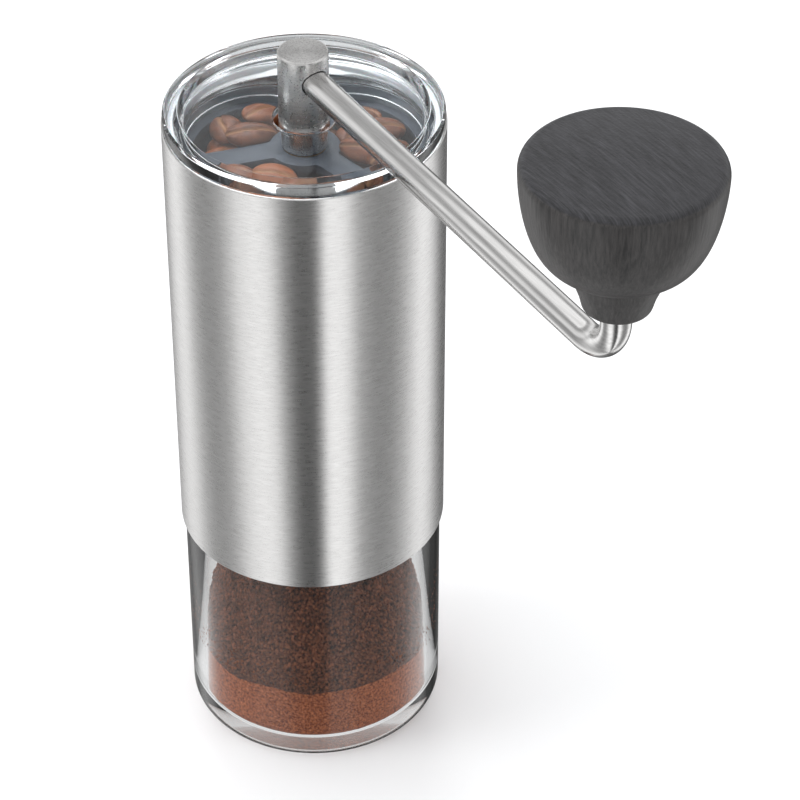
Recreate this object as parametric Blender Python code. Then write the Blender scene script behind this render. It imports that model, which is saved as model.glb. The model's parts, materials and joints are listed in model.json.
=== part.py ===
"""Hand crank coffee grinder: steel sleeve over a glass jar, clear lid, bent rod crank with a wooden knob.

The origin is the centre of the jar's flat base, +Z runs up the grinder's axis, and the crank points along +X.
Every piece is one closed solid. Lengths are metres, written as millimetres times MM.
"""
import bmesh
import bpy
from math import asin, cos, pi, radians, sin, tan
from mathutils import Vector

MM = 0.001

# Fits
SEAT_GAP = 0.3 * MM        # between pieces that touch and never move
RUN_GAP = 0.06 * MM        # radial, a shaft turning in a bush
KEY_GAP = 0.05 * MM        # per side, a hexagon sliding in its socket
RING_GAP = 0.15 * MM       # between a soft ring and the wall it seals

# Outer sleeve and jar
SLEEVE_RADIUS = 28.0 * MM
SLEEVE_WALL = 0.5 * MM
SLEEVE_BOTTOM = 50.0 * MM
SLEEVE_LENGTH = 97.1 * MM
JAR_WALL = 2.3 * MM
JAR_FLOOR = 3.6 * MM
JAR_OVERLAP = 11.5 * MM    # length of jar held inside the sleeve
JAR_FOOT_ROUND = 2.5 * MM

# Lid
LID_FLANGE = 2.6 * MM
LID_GROOVE_RISE = 1.4 * MM  # seal groove above the liner's rim
LID_OVERHANG = 0.2 * MM    # flange beyond the sleeve's inner wall
LID_SKIRT_DEPTH = 7.1 * MM
LID_SKIRT_WALL = 1.5 * MM
LID_PANE = 1.6 * MM
LID_PANE_DROP = 2.2 * MM   # pane's top below the rim
LID_PANE_INSET = 4.3 * MM   # from the sleeve's outside to the recessed pane
LID_HOLE_GAP = 1.1 * MM    # radial, round the crank's hub
LID_SHOULDER_INSET = 0.8 * MM
LID_GROOVE_DEPTH = 1.3 * MM

# Hopper and upper bridge
LINER_WALL = 1.8 * MM
LINER_RIM_WALL = 1.0 * MM
LINER_RIM_DROP = 5.3 * MM  # liner's top below the sleeve's top
BRIDGE_DROP = 8.8 * MM     # bridge's top below the sleeve's top
BRIDGE_THICK = 3.0 * MM
BRIDGE_RIM = 2.4 * MM
BRIDGE_ARM = 6.0 * MM
BRIDGE_TURN = 10.0         # degrees, first arm from +X
BOSS_RADIUS = 7.0 * MM
BOSS_LENGTH = 12.0 * MM
BUSH_LEDGE = 1.2 * MM      # plastic left under each pressed bush
WINDOW_STEP = 0.8 * MM     # flat ring left round a bridge's boss
FUNNEL_INSET = 6.7 * MM    # from the sleeve's outside to the funnel's mouth
FUNNEL_LIP = 1.0 * MM
FUNNEL_RISE = 10.7 * MM

# Grinding section
OUTER_BURR_RADIUS = 17.8 * MM
OUTER_BURR_HEIGHT = 14.0 * MM
BURR_MOUTH_WALL = 2.6 * MM  # ring burr's wall at the top
BURR_THROAT_WALL = 5.2 * MM
BURR_EXIT_WALL = 3.9 * MM
BURR_TEETH = 12
BURR_TOOTH_DEPTH = 0.7 * MM
BURR_SKIRT = 2.0 * MM      # inner burr's reach below the ring burr
BURR_TOP_DROP = 1.0 * MM   # inner burr's top below the ring burr's
BURR_SHOULDER = 2.2 * MM   # inner burr's step in from the throat
BURR_RIM = 1.4 * MM        # ceramic round the driver at the inner burr's top
GRIND_GAP = 0.3 * MM
CHUTE_DEPTH = 8.7 * MM     # carrier's funnel above the ring burr
HEAD_ROOM = 1.9 * MM       # carrier below the clamp ring
LOWER_BRIDGE_THICK = 3.0 * MM
LOWER_BOSS_RADIUS = 6.4 * MM
LOWER_BOSS_RISE = 2.4 * MM
LOWER_BOSS_DROP = 3.0 * MM
LOWER_ARM = 4.0 * MM
CLAMP_THICK = 2.2 * MM
CLAMP_MARGIN = 2.0 * MM    # clamp ring beyond the screws' circle
CLAMP_BORE_GAP = 1.7 * MM  # radial, clamp ring's bore beyond the burr's exit
SCREW_MARGIN = 2.6 * MM    # screws' circle beyond the ring burr
SCREW_TURN = 25.0          # degrees, first screw from +X
SCREW_RADIUS = 0.9 * MM
SCREW_HEAD = 1.7 * MM
SCREW_HEAD_THICK = 1.0 * MM
SCREW_HEAD_GAP = 0.1 * MM
SCREW_LENGTH = 9.0 * MM
COLLAR_WALL = 2.5 * MM
COLLAR_FLANGE = 1.5 * MM
COLLAR_DROP = 10.9 * MM    # collar's spigot below the jar's mouth
COLLAR_CHAMFER = 0.4 * MM
SEAL_GROOVE = 1.2 * MM
SEAL_HEIGHT = 1.6 * MM
SEAL_PITCH = 4.0 * MM
NUT_RADIUS = 11.5 * MM
NUT_HEIGHT = 6.4 * MM
NUT_KNURLS = 18
NUT_KNURL_DEPTH = 0.5 * MM
NUT_CHAMFER = 0.7 * MM

# Shaft, crank and knob
SHAFT_RADIUS = 3.0 * MM
HEX_CUT = 0.8 * MM         # shaft's diameter less the hexagon across flats
THREAD_CUT = 0.4 * MM      # thread's radius below the shaft's
THREAD_TAIL = 2.0 * MM     # thread below the nut
THREAD_RELIEF = 0.1 * MM
SHAFT_CHAMFER = 0.5 * MM
BUSH_WALL = 1.5 * MM
CLIP_GROOVE_DEPTH = 0.4 * MM
CLIP_GROOVE_RISE = 0.5 * MM  # clip's groove above the lower boss
CLIP_THICK = 0.8 * MM
CLIP_WIDTH = 1.9 * MM
WASHER_THICK = 0.7 * MM
WASHER_MARGIN = 1.0 * MM
SPRING_WIRE = 0.5 * MM
SPRING_CLEARANCE = 0.4 * MM
SPRING_TURNS = 4
DRIVER_WALL = 3.2 * MM
DRIVER_FLANGE = 3.0 * MM
DRIVER_FLANGE_THICK = 1.2 * MM
DETENT_THICK = 1.3 * MM
HUB_WALL = 2.0 * MM        # hub beyond the shaft's radius
HUB_FLOAT = 0.4 * MM       # hub's end above the bridge
HUB_EDGE = 0.3 * MM
SOCKET_END_GAP = 0.6 * MM
HUB_ABOVE_LID = 12.7 * MM  # hub's top above the lid's rim
SOCKET_DEPTH = 12.2 * MM
ARM_RADIUS = 2.8 * MM
ARM_LENGTH = 100.0 * MM    # from the grinder's axis to the knob's axis
ARM_BELOW_HUB_TOP = 4.8 * MM
ARM_SLOPE = 4.0            # degrees below level
ARM_BEND = 8.0 * MM        # radius of the bend's centre line
ARM_START = 1.0 * MM       # rod's end from the axis, inside the hub
PIN_LENGTH = 22.0 * MM     # rod inside the knob
KNOB_RADIUS = 17.8 * MM
KNOB_HEIGHT = 30.5 * MM
NECK_RADIUS = 8.7 * MM
NECK_HEIGHT = 9.4 * MM
NECK_ABOVE_BEND = 3.5 * MM
KNOB_EDGE = 1.6 * MM       # round between the knob's side and its crown
KNOB_CROWN = 1.3 * MM
KNOB_BUSH_WALL = 1.0 * MM
KNOB_CLIP_DROP = 1.2 * MM  # clip's top below the rod's end
KNOB_CLIP_THICK = 0.8 * MM

OVERSHOOT = 1.0 * MM       # a cutter's reach past what it cuts
BIG_SIDES = 36
SMALL_SIDES = 24
TINY_SIDES = 12

# Heights and radii that follow from the sizes above
SLEEVE_INNER = SLEEVE_RADIUS - SLEEVE_WALL
SLEEVE_TOP = SLEEVE_BOTTOM + SLEEVE_LENGTH
CORE_RADIUS = SLEEVE_INNER - SEAT_GAP       # whatever fits inside the sleeve
JAR_TOP = SLEEVE_BOTTOM + JAR_OVERLAP
JAR_INNER = CORE_RADIUS - JAR_WALL
LINER_TOP = SLEEVE_TOP - LINER_RIM_DROP
BRIDGE_TOP = SLEEVE_TOP - BRIDGE_DROP
BRIDGE_BOTTOM = BRIDGE_TOP - BRIDGE_THICK
LINER_INNER = CORE_RADIUS - LINER_WALL
LINER_RIM_INNER = CORE_RADIUS - LINER_RIM_WALL
FUNNEL_RADIUS = SLEEVE_RADIUS - FUNNEL_INSET
LID_PANE_RADIUS = SLEEVE_RADIUS - LID_PANE_INSET
COLLAR_TOP = JAR_TOP + SEAT_GAP + COLLAR_FLANGE
COLLAR_BOTTOM = JAR_TOP - COLLAR_DROP
COLLAR_RADIUS = JAR_INNER - 2 * SEAT_GAP
CARRIER_BOTTOM = COLLAR_TOP + SEAT_GAP
CLAMP_BOTTOM = CARRIER_BOTTOM + HEAD_ROOM
CLAMP_TOP = CLAMP_BOTTOM + CLAMP_THICK
OUTER_BURR_BOTTOM = CLAMP_TOP + SEAT_GAP
OUTER_BURR_TOP = OUTER_BURR_BOTTOM + OUTER_BURR_HEIGHT
CARRIER_TOP = OUTER_BURR_TOP + CHUTE_DEPTH
SCREW_CIRCLE = OUTER_BURR_RADIUS + SCREW_MARGIN
CLAMP_RIM = SCREW_CIRCLE + CLAMP_MARGIN
BURR_MOUTH = OUTER_BURR_RADIUS - BURR_MOUTH_WALL
BURR_THROAT = OUTER_BURR_RADIUS - BURR_THROAT_WALL
BURR_EXIT = OUTER_BURR_RADIUS - BURR_EXIT_WALL
LOWER_BRIDGE_BOTTOM = CARRIER_TOP + SEAT_GAP
LOWER_BRIDGE_TOP = LOWER_BRIDGE_BOTTOM + LOWER_BRIDGE_THICK
LINER_BOTTOM = LOWER_BRIDGE_TOP + SEAT_GAP
FUNNEL_TOP = LINER_BOTTOM + FUNNEL_LIP + FUNNEL_RISE
LOWER_BOSS_TOP = LOWER_BRIDGE_TOP + LOWER_BOSS_RISE
LOWER_BOSS_BOTTOM = LOWER_BRIDGE_BOTTOM - LOWER_BOSS_DROP
SHAFT_FLATS = 2 * SHAFT_RADIUS - HEX_CUT    # hexagon across flats
THREAD_RADIUS = SHAFT_RADIUS - THREAD_CUT
HUB_RADIUS = SHAFT_RADIUS + HUB_WALL
BUSH_INNER = SHAFT_RADIUS + RUN_GAP
BUSH_OUTER = BUSH_INNER + BUSH_WALL
BUSH_BORE = BUSH_OUTER + SEAT_GAP
LID_SEAT = SLEEVE_TOP + SEAT_GAP
LID_RIM = LID_SEAT + LID_FLANGE
HUB_TOP = LID_RIM + HUB_ABOVE_LID
HUB_BOTTOM = BRIDGE_TOP + HUB_FLOAT
SOCKET_TOP = HUB_BOTTOM + SOCKET_DEPTH
SHAFT_TOP = SOCKET_TOP - SOCKET_END_GAP
ARM_HEIGHT = HUB_TOP - ARM_BELOW_HUB_TOP    # arm's centre line where it meets the axis
ARM_END_HEIGHT = ARM_HEIGHT - ARM_LENGTH * tan(radians(ARM_SLOPE))
BEND_REACH = ARM_BEND * tan(radians(90 + ARM_SLOPE) / 2)
NECK_BOTTOM = ARM_END_HEIGHT + BEND_REACH + NECK_ABOVE_BEND
PIN_TOP = NECK_BOTTOM + PIN_LENGTH
KNOB_BUSH_INNER = ARM_RADIUS + RUN_GAP
KNOB_BUSH_OUTER = KNOB_BUSH_INNER + KNOB_BUSH_WALL
KNOB_BORE = KNOB_BUSH_OUTER + 3 * SEAT_GAP
BURR_BOTTOM = OUTER_BURR_BOTTOM - BURR_SKIRT
BURR_TOP = OUTER_BURR_TOP - BURR_TOP_DROP
DRIVER_RADIUS = SHAFT_RADIUS + DRIVER_WALL
DRIVER_BOTTOM = BURR_BOTTOM - SEAT_GAP - DRIVER_FLANGE_THICK
DETENT_TOP = DRIVER_BOTTOM - SEAT_GAP
DETENT_BOTTOM = DETENT_TOP - DETENT_THICK
NUT_TOP = DETENT_BOTTOM - SEAT_GAP
NUT_BOTTOM = NUT_TOP - NUT_HEIGHT
THREAD_TOP = NUT_TOP + THREAD_RELIEF
SHAFT_BOTTOM = NUT_BOTTOM - THREAD_TAIL


def clear_scene():
    for thing in list(bpy.data.objects):
        bpy.data.objects.remove(thing, do_unlink=True)


def finish(name, colour, roughness, metallic, alpha=1.0):
    material = bpy.data.materials.new(name)
    material.use_nodes = True
    shader = material.node_tree.nodes["Principled BSDF"]
    shader.inputs["Base Color"].default_value = (*colour, 1.0)
    shader.inputs["Roughness"].default_value = roughness
    shader.inputs["Metallic"].default_value = metallic
    shader.inputs["Transmission Weight"].default_value = 1.0 - alpha
    return material


def frame(name, location=(0.0, 0.0, 0.0)):
    """An empty on the joint's axis, which carries one moving body."""
    empty = bpy.data.objects.new(name, None)
    empty.location = location
    bpy.context.scene.collection.objects.link(empty)
    return empty


def add_object(name, data, material, parent):
    thing = bpy.data.objects.new(name, data)
    thing.parent = parent
    bpy.context.scene.collection.objects.link(thing)
    if material:
        data.materials.append(material)
    return thing


def mesh_from(name, work):
    bmesh.ops.recalc_face_normals(work, faces=work.faces)
    mesh = bpy.data.meshes.new(name)
    work.to_mesh(mesh)
    work.free()
    mesh.shade_smooth()
    mesh.set_sharp_from_angle(angle=radians(35))
    return mesh


def hexed(flats, limit=1.0):
    """Radius of a hexagon of this width across flats, cut to a round bar of radius limit."""
    def radius(angle):
        from_flat = (angle + pi / 6) % (pi / 3) - pi / 6
        return min(flats / 2 / cos(from_flat), limit)
    return radius


def lobed(radius, depth, count, turn=0.0):
    """Radius of a wheel with this many lobes, whose valleys are depth (signed) from its crests."""
    def wave(angle):
        return radius + depth * (0.5 - 0.5 * cos(count * (angle - turn)))
    return wave


def lathe(outline, sides):
    """Turns a closed outline of (radius, height) about Z. A radius may be a function of the angle."""
    work = bmesh.new()
    rings = []
    for radius, height in outline:
        if radius == 0.0:
            rings.append([work.verts.new((0.0, 0.0, height))])
            continue
        ring = []
        for step in range(sides):
            angle = 2 * pi * step / sides
            reach = radius(angle) if callable(radius) else radius
            ring.append(work.verts.new((reach * cos(angle), reach * sin(angle), height)))
        rings.append(ring)
    for one, two in zip(rings, rings[1:] + rings[:1]):
        for step in range(sides):
            after = (step + 1) % sides
            if len(one) == 1 and len(two) == 1:
                break
            if len(one) == 1:
                work.faces.new((one[0], two[step], two[after]))
            elif len(two) == 1:
                work.faces.new((one[step], two[0], one[after]))
            else:
                work.faces.new((one[step], two[step], two[after], one[after]))
    return work


def turned(name, outline, material, parent, sides=BIG_SIDES, location=(0.0, 0.0, 0.0)):
    thing = add_object(name, mesh_from(name, lathe(outline, sides)), material, parent)
    thing.location = location
    return thing


def tube(inner, outer, low, high):
    return [(outer, high), (outer, low), (inner, low), (inner, high)]


def arc(centre, radius, start, end, steps):
    """Points on an arc in the (radius, height) plane, angles in degrees."""
    points = []
    for step in range(steps + 1):
        angle = radians(start + (end - start) * step / steps)
        points.append((centre[0] + radius * cos(angle), centre[1] + radius * sin(angle)))
    return points


def soft_ring(inner, outer, low, high):
    """Outline of a sealing ring with its corners taken off."""
    cut = 0.3 * (high - low)
    return [
        (outer - cut, high), (outer, high - cut), (outer, low + cut),
        (outer - cut, low), (inner, low), (inner, high),
    ]


def prism(outline, low, high):
    """A closed upright prism over a flat outline of (x, y)."""
    work = bmesh.new()
    floor = [work.verts.new((x, y, low)) for x, y in outline]
    roof = [work.verts.new((x, y, high)) for x, y in outline]
    work.faces.new(floor)
    work.faces.new(roof)
    for step in range(len(outline)):
        after = (step + 1) % len(outline)
        work.faces.new((floor[step], floor[after], roof[after], roof[step]))
    return work


def cut_away(thing, name, work, location=(0.0, 0.0, 0.0), rotation=(0.0, 0.0, 0.0)):
    """Cuts a closed shape out of thing with a hidden cutter."""
    cutter = add_object(name, mesh_from(name, work), None, thing.parent)
    cutter.location = location
    cutter.rotation_euler = rotation
    cutter.hide_render = True
    cutter.display_type = "WIRE"
    boolean = thing.modifiers.new(name, "BOOLEAN")
    boolean.operation = "DIFFERENCE"
    boolean.solver = "EXACT"
    boolean.object = cutter


def window_outline(inner, outer, arm, middle):
    """One of three openings between the arms of a bridge, centred on the angle middle (radians)."""
    points = []
    for radius, direction in ((outer, 1), (inner, -1)):
        half = pi / 3 - asin(arm / 2 / radius)
        steps = 6
        for step in range(steps + 1):
            angle = middle + direction * half * (2 * step / steps - 1)
            points.append((radius * cos(angle), radius * sin(angle)))
    return points


def cut_windows(thing, inner, outer, arm, turn, low, high):
    for number in range(3):
        middle = radians(turn + 60 + 120 * number)
        outline = window_outline(inner, outer, arm, middle)
        cut_away(thing, f"{thing.name}_window_cutter_{number + 1}", prism(outline, low, high))


def make_sleeve(parent):
    steel = finish("brushed steel", (0.62, 0.61, 0.60), 0.32, 1.0)
    lip = 0.15 * MM
    outline = [
        (SLEEVE_RADIUS - lip, SLEEVE_TOP), (SLEEVE_RADIUS, SLEEVE_TOP - lip),
        (SLEEVE_RADIUS, SLEEVE_BOTTOM + lip), (SLEEVE_RADIUS - lip, SLEEVE_BOTTOM),
        (SLEEVE_INNER, SLEEVE_BOTTOM), (SLEEVE_INNER, SLEEVE_TOP),
    ]
    turned("body_sleeve", outline, steel, parent)


def make_liner(parent):
    plastic = finish("liner plastic", (0.16, 0.18, 0.21), 0.5, 0.0)
    outline = [
        (CORE_RADIUS, LINER_TOP), (CORE_RADIUS, LINER_BOTTOM),
        (FUNNEL_RADIUS, LINER_BOTTOM), (FUNNEL_RADIUS, LINER_BOTTOM + FUNNEL_LIP),
        (LINER_INNER, FUNNEL_TOP), (LINER_INNER, BRIDGE_BOTTOM - SEAT_GAP),
        (LINER_RIM_INNER, BRIDGE_BOTTOM - SEAT_GAP), (LINER_RIM_INNER, LINER_TOP),
    ]
    turned("hopper_liner", outline, plastic, parent)


def make_upper_bridge(parent):
    plastic = finish("bridge plastic", (0.10, 0.12, 0.15), 0.45, 0.0)
    rim = LINER_RIM_INNER - SEAT_GAP
    boss_bottom = BRIDGE_TOP - BOSS_LENGTH
    bush_seat = boss_bottom + BUSH_LEDGE
    outline = [
        (rim, BRIDGE_TOP), (rim, BRIDGE_BOTTOM), (BOSS_RADIUS, BRIDGE_BOTTOM),
        (BOSS_RADIUS, boss_bottom), (BUSH_INNER + SEAT_GAP, boss_bottom),
        (BUSH_INNER + SEAT_GAP, bush_seat), (BUSH_BORE, bush_seat), (BUSH_BORE, BRIDGE_TOP),
    ]
    bridge = turned("bearing_bridge", outline, plastic, parent)
    cut_windows(bridge, BOSS_RADIUS + WINDOW_STEP, rim - BRIDGE_RIM, BRIDGE_ARM, BRIDGE_TURN,
                BRIDGE_BOTTOM - OVERSHOOT, BRIDGE_TOP + OVERSHOOT)
    bronze = finish("bearing bronze", (0.45, 0.30, 0.14), 0.35, 1.0)
    turned("upper_bush", tube(BUSH_INNER, BUSH_OUTER, bush_seat + SEAT_GAP, BRIDGE_TOP - SEAT_GAP),
           bronze, parent, SMALL_SIDES)
    return bronze


def make_lower_bridge(parent, bronze):
    plastic = finish("lower bridge plastic", (0.12, 0.13, 0.15), 0.5, 0.0)
    outline = [
        (CORE_RADIUS, LOWER_BRIDGE_TOP), (CORE_RADIUS, LOWER_BRIDGE_BOTTOM),
        (LOWER_BOSS_RADIUS, LOWER_BRIDGE_BOTTOM), (LOWER_BOSS_RADIUS, LOWER_BOSS_BOTTOM),
        (BUSH_BORE, LOWER_BOSS_BOTTOM), (BUSH_BORE, LOWER_BOSS_TOP),
        (LOWER_BOSS_RADIUS, LOWER_BOSS_TOP), (LOWER_BOSS_RADIUS, LOWER_BRIDGE_TOP),
    ]
    bridge = turned("lower_bridge", outline, plastic, parent)
    cut_windows(bridge, LOWER_BOSS_RADIUS + WINDOW_STEP, FUNNEL_RADIUS, LOWER_ARM, BRIDGE_TURN + 60,
                LOWER_BRIDGE_BOTTOM - OVERSHOOT, LOWER_BRIDGE_TOP + OVERSHOOT)
    turned("lower_bush", tube(BUSH_INNER, BUSH_OUTER, LOWER_BOSS_BOTTOM, LOWER_BOSS_TOP - SEAT_GAP),
           bronze, parent, SMALL_SIDES)


def make_carrier(parent):
    plastic = finish("carrier plastic", (0.12, 0.13, 0.15), 0.5, 0.0)
    bore = OUTER_BURR_RADIUS + SEAT_GAP
    clamp_bore = CLAMP_RIM + SEAT_GAP
    outline = [
        (CORE_RADIUS, CARRIER_TOP), (CORE_RADIUS, CARRIER_BOTTOM), (clamp_bore, CARRIER_BOTTOM),
        (clamp_bore, CLAMP_TOP + SEAT_GAP), (bore, CLAMP_TOP + SEAT_GAP),
        (bore, OUTER_BURR_TOP + SEAT_GAP), (BURR_MOUTH + 2 * SEAT_GAP, OUTER_BURR_TOP + SEAT_GAP),
        (FUNNEL_RADIUS, CARRIER_TOP),
    ]
    carrier = turned("burr_carrier", outline, plastic, parent)
    low = CARRIER_BOTTOM - OVERSHOOT
    high = CLAMP_BOTTOM + SCREW_LENGTH + SEAT_GAP
    for number in range(3):
        angle = radians(SCREW_TURN + 120 * number)
        place = (SCREW_CIRCLE * cos(angle), SCREW_CIRCLE * sin(angle), 0.0)
        hole = lathe([(SCREW_RADIUS + KEY_GAP, high), (SCREW_RADIUS + KEY_GAP, low), (0.0, low), (0.0, high)],
                     TINY_SIDES)
        cut_away(carrier, f"carrier_hole_cutter_{number + 1}", hole, place)


def make_outer_burr(parent):
    ceramic = finish("ceramic", (0.82, 0.80, 0.76), 0.4, 0.0)
    levels = 7
    throat = 0.5
    outline = [(OUTER_BURR_RADIUS, OUTER_BURR_TOP), (OUTER_BURR_RADIUS, OUTER_BURR_BOTTOM)]
    for step in range(levels + 1):
        rise = step / levels
        if rise < throat:
            radius = BURR_EXIT + (BURR_THROAT - BURR_EXIT) * rise / throat
        else:
            radius = BURR_THROAT + (BURR_MOUTH - BURR_THROAT) * (rise - throat) / (1 - throat)
        height = OUTER_BURR_BOTTOM + OUTER_BURR_HEIGHT * rise
        outline.append((lobed(radius, BURR_TOOTH_DEPTH, BURR_TEETH, 0.5 * rise), height))
    turned("outer_burr", outline, ceramic, parent)
    return ceramic


def make_clamp(parent):
    steel = finish("clamp steel", (0.55, 0.55, 0.55), 0.4, 1.0)
    clamp = turned("burr_clamp_ring", tube(BURR_EXIT + CLAMP_BORE_GAP, CLAMP_RIM, CLAMP_BOTTOM, CLAMP_TOP),
                   steel, parent)
    zinc = finish("screw steel", (0.6, 0.6, 0.58), 0.35, 1.0)
    head_top = CLAMP_BOTTOM - SCREW_HEAD_GAP
    head_bottom = head_top - SCREW_HEAD_THICK
    shank_top = CLAMP_BOTTOM + SCREW_LENGTH
    for number in range(3):
        angle = radians(SCREW_TURN + 120 * number)
        place = (SCREW_CIRCLE * cos(angle), SCREW_CIRCLE * sin(angle), 0.0)
        hole_radius = SCREW_RADIUS + KEY_GAP
        low, high = CLAMP_BOTTOM - OVERSHOOT, CLAMP_TOP + OVERSHOOT
        hole = lathe([(hole_radius, high), (hole_radius, low), (0.0, low), (0.0, high)], TINY_SIDES)
        cut_away(clamp, f"clamp_hole_cutter_{number + 1}", hole, place)
        screw = [
            (0.0, shank_top), (SCREW_RADIUS, shank_top), (SCREW_RADIUS, head_top),
            (SCREW_HEAD, head_top), (SCREW_HEAD, head_bottom), (0.0, head_bottom),
        ]
        turned(f"clamp_screw_{number + 1}", screw, zinc, parent, TINY_SIDES, place)


def seal_places():
    """Lower edge of each sealing groove on the jar collar."""
    first = COLLAR_BOTTOM + SEAL_HEIGHT
    return [first, first + SEAL_PITCH]


def make_collar(parent):
    plastic = finish("collar plastic", (0.13, 0.14, 0.16), 0.5, 0.0)
    silicone = finish("silicone", (0.75, 0.76, 0.78), 0.6, 0.0)
    shelf = JAR_TOP + SEAT_GAP
    groove = COLLAR_RADIUS - SEAL_GROOVE
    outline = [(CORE_RADIUS, COLLAR_TOP), (CORE_RADIUS, shelf), (COLLAR_RADIUS, shelf)]
    for low in reversed(seal_places()):
        high = low + SEAL_HEIGHT + SEAT_GAP
        outline += [(COLLAR_RADIUS, high), (groove, high), (groove, low), (COLLAR_RADIUS, low)]
    outline += [
        (COLLAR_RADIUS, COLLAR_BOTTOM + COLLAR_CHAMFER), (COLLAR_RADIUS - COLLAR_CHAMFER, COLLAR_BOTTOM),
        (COLLAR_RADIUS - COLLAR_WALL, COLLAR_BOTTOM), (COLLAR_RADIUS - COLLAR_WALL, COLLAR_TOP),
    ]
    turned("jar_collar", outline, plastic, parent)
    for name, low in zip(("lower_jar_seal", "upper_jar_seal"), seal_places()):
        bottom = low + RING_GAP
        ring = soft_ring(groove + RING_GAP, JAR_INNER - RING_GAP, bottom, bottom + SEAL_HEIGHT)
        turned(name, ring, silicone, parent)
    return silicone


def make_lid(parent, silicone):
    acrylic = finish("clear acrylic", (0.95, 0.97, 0.98), 0.05, 0.0, 0.1)
    flange = SLEEVE_INNER + LID_OVERHANG
    skirt = LINER_RIM_INNER - SEAT_GAP
    skirt_bottom = LID_SEAT - LID_SKIRT_DEPTH
    shoulder = SLEEVE_INNER - LID_SHOULDER_INSET
    groove = shoulder - LID_GROOVE_DEPTH
    groove_low = LINER_TOP + LID_GROOVE_RISE
    groove_high = groove_low + SEAL_HEIGHT + 2 * RING_GAP
    pane_top = LID_RIM - LID_PANE_DROP
    pane_bottom = pane_top - LID_PANE
    hole = HUB_RADIUS + LID_HOLE_GAP
    skirt_inner = skirt - LID_SKIRT_WALL
    edge = 0.5 * MM
    outline = [
        (flange - edge, LID_RIM), (flange, LID_RIM - edge), (flange, LID_SEAT),
        (shoulder, LID_SEAT), (shoulder, groove_high), (groove, groove_high),
        (groove, groove_low), (shoulder, groove_low), (shoulder, LINER_TOP + SEAT_GAP),
        (skirt, LINER_TOP + SEAT_GAP), (skirt, skirt_bottom), (skirt_inner, skirt_bottom),
        (skirt_inner, pane_bottom), (hole, pane_bottom), (hole, pane_top),
        (LID_PANE_RADIUS, pane_top), (LID_PANE_RADIUS + edge, LID_RIM - edge),
        (LID_PANE_RADIUS + 2 * edge, LID_RIM),
    ]
    turned("lid", outline, acrylic, parent)
    ring = soft_ring(groove + RING_GAP, SLEEVE_INNER - RING_GAP, groove_low + RING_GAP,
                     groove_low + SEAL_HEIGHT + RING_GAP)
    turned("lid_seal", ring, silicone, parent)


def make_shaft(parent):
    steel = finish("shaft steel", (0.60, 0.60, 0.60), 0.3, 1.0)
    hexagon = hexed(SHAFT_FLATS, SHAFT_RADIUS)
    round_bottom = BURR_TOP + BURR_TOP_DROP
    clip_groove = LOWER_BOSS_TOP + CLIP_GROOVE_RISE
    groove_top = clip_groove + CLIP_THICK + 2 * RING_GAP
    groove_radius = SHAFT_RADIUS - CLIP_GROOVE_DEPTH
    hex_start = BRIDGE_TOP + 0.5 * HUB_FLOAT
    outline = [
        (0.0, SHAFT_TOP), (SHAFT_FLATS / 2 - SHAFT_CHAMFER, SHAFT_TOP), (hexagon, SHAFT_TOP - SHAFT_CHAMFER),
        (hexagon, hex_start), (SHAFT_RADIUS, hex_start),
        (SHAFT_RADIUS, groove_top), (groove_radius, groove_top), (groove_radius, clip_groove),
        (SHAFT_RADIUS, clip_groove), (SHAFT_RADIUS, round_bottom), (hexagon, round_bottom),
        (hexagon, THREAD_TOP), (THREAD_RADIUS, THREAD_TOP),
        (THREAD_RADIUS, SHAFT_BOTTOM + SHAFT_CHAMFER), (THREAD_RADIUS - SHAFT_CHAMFER, SHAFT_BOTTOM),
        (0.0, SHAFT_BOTTOM),
    ]
    turned("drive_shaft", outline, steel, parent, SMALL_SIDES)
    make_circlip(parent, groove_radius + RING_GAP, clip_groove + RING_GAP)
    washer_top = LOWER_BOSS_BOTTOM - SEAT_GAP
    washer_bottom = washer_top - WASHER_THICK
    washer_rim = BUSH_OUTER + WASHER_MARGIN
    turned("thrust_washer", tube(SHAFT_RADIUS + 2 * RING_GAP, washer_rim, washer_bottom, washer_top),
           steel, parent, SMALL_SIDES)
    make_spring(parent, BURR_TOP + SEAT_GAP + SPRING_WIRE, washer_bottom - SEAT_GAP - SPRING_WIRE)


def make_circlip(parent, inner, low):
    steel = finish("clip steel", (0.25, 0.25, 0.26), 0.4, 1.0)
    outline = []
    steps = 12
    half_span = radians(150)
    for radius, direction in ((inner + CLIP_WIDTH, 1), (inner, -1)):
        for step in range(steps + 1):
            angle = direction * half_span * (2 * step / steps - 1)
            outline.append((radius * cos(angle), radius * sin(angle)))
    clip = mesh_from("shaft_circlip", prism(outline, low, low + CLIP_THICK))
    add_object("shaft_circlip", clip, steel, parent)


def make_spring(parent, low, high):
    """A compression spring between the burr and the thrust washer, as a bevelled helix."""
    steel = finish("spring steel", (0.5, 0.5, 0.5), 0.3, 1.0)
    curve = bpy.data.curves.new("burr_spring", "CURVE")
    curve.dimensions = "3D"
    curve.bevel_depth = SPRING_WIRE
    curve.bevel_resolution = 1
    curve.use_fill_caps = True
    radius = SHAFT_RADIUS + 2.0 * SPRING_WIRE + SPRING_CLEARANCE
    steps = 12 * SPRING_TURNS
    spline = curve.splines.new("POLY")
    spline.points.add(steps)
    for step, point in enumerate(spline.points):
        angle = 2 * pi * SPRING_TURNS * step / steps
        height = low + (high - low) * step / steps
        point.co = (radius * cos(angle), radius * sin(angle), height, 1.0)
    add_object("burr_spring", curve, steel, parent)


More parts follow.
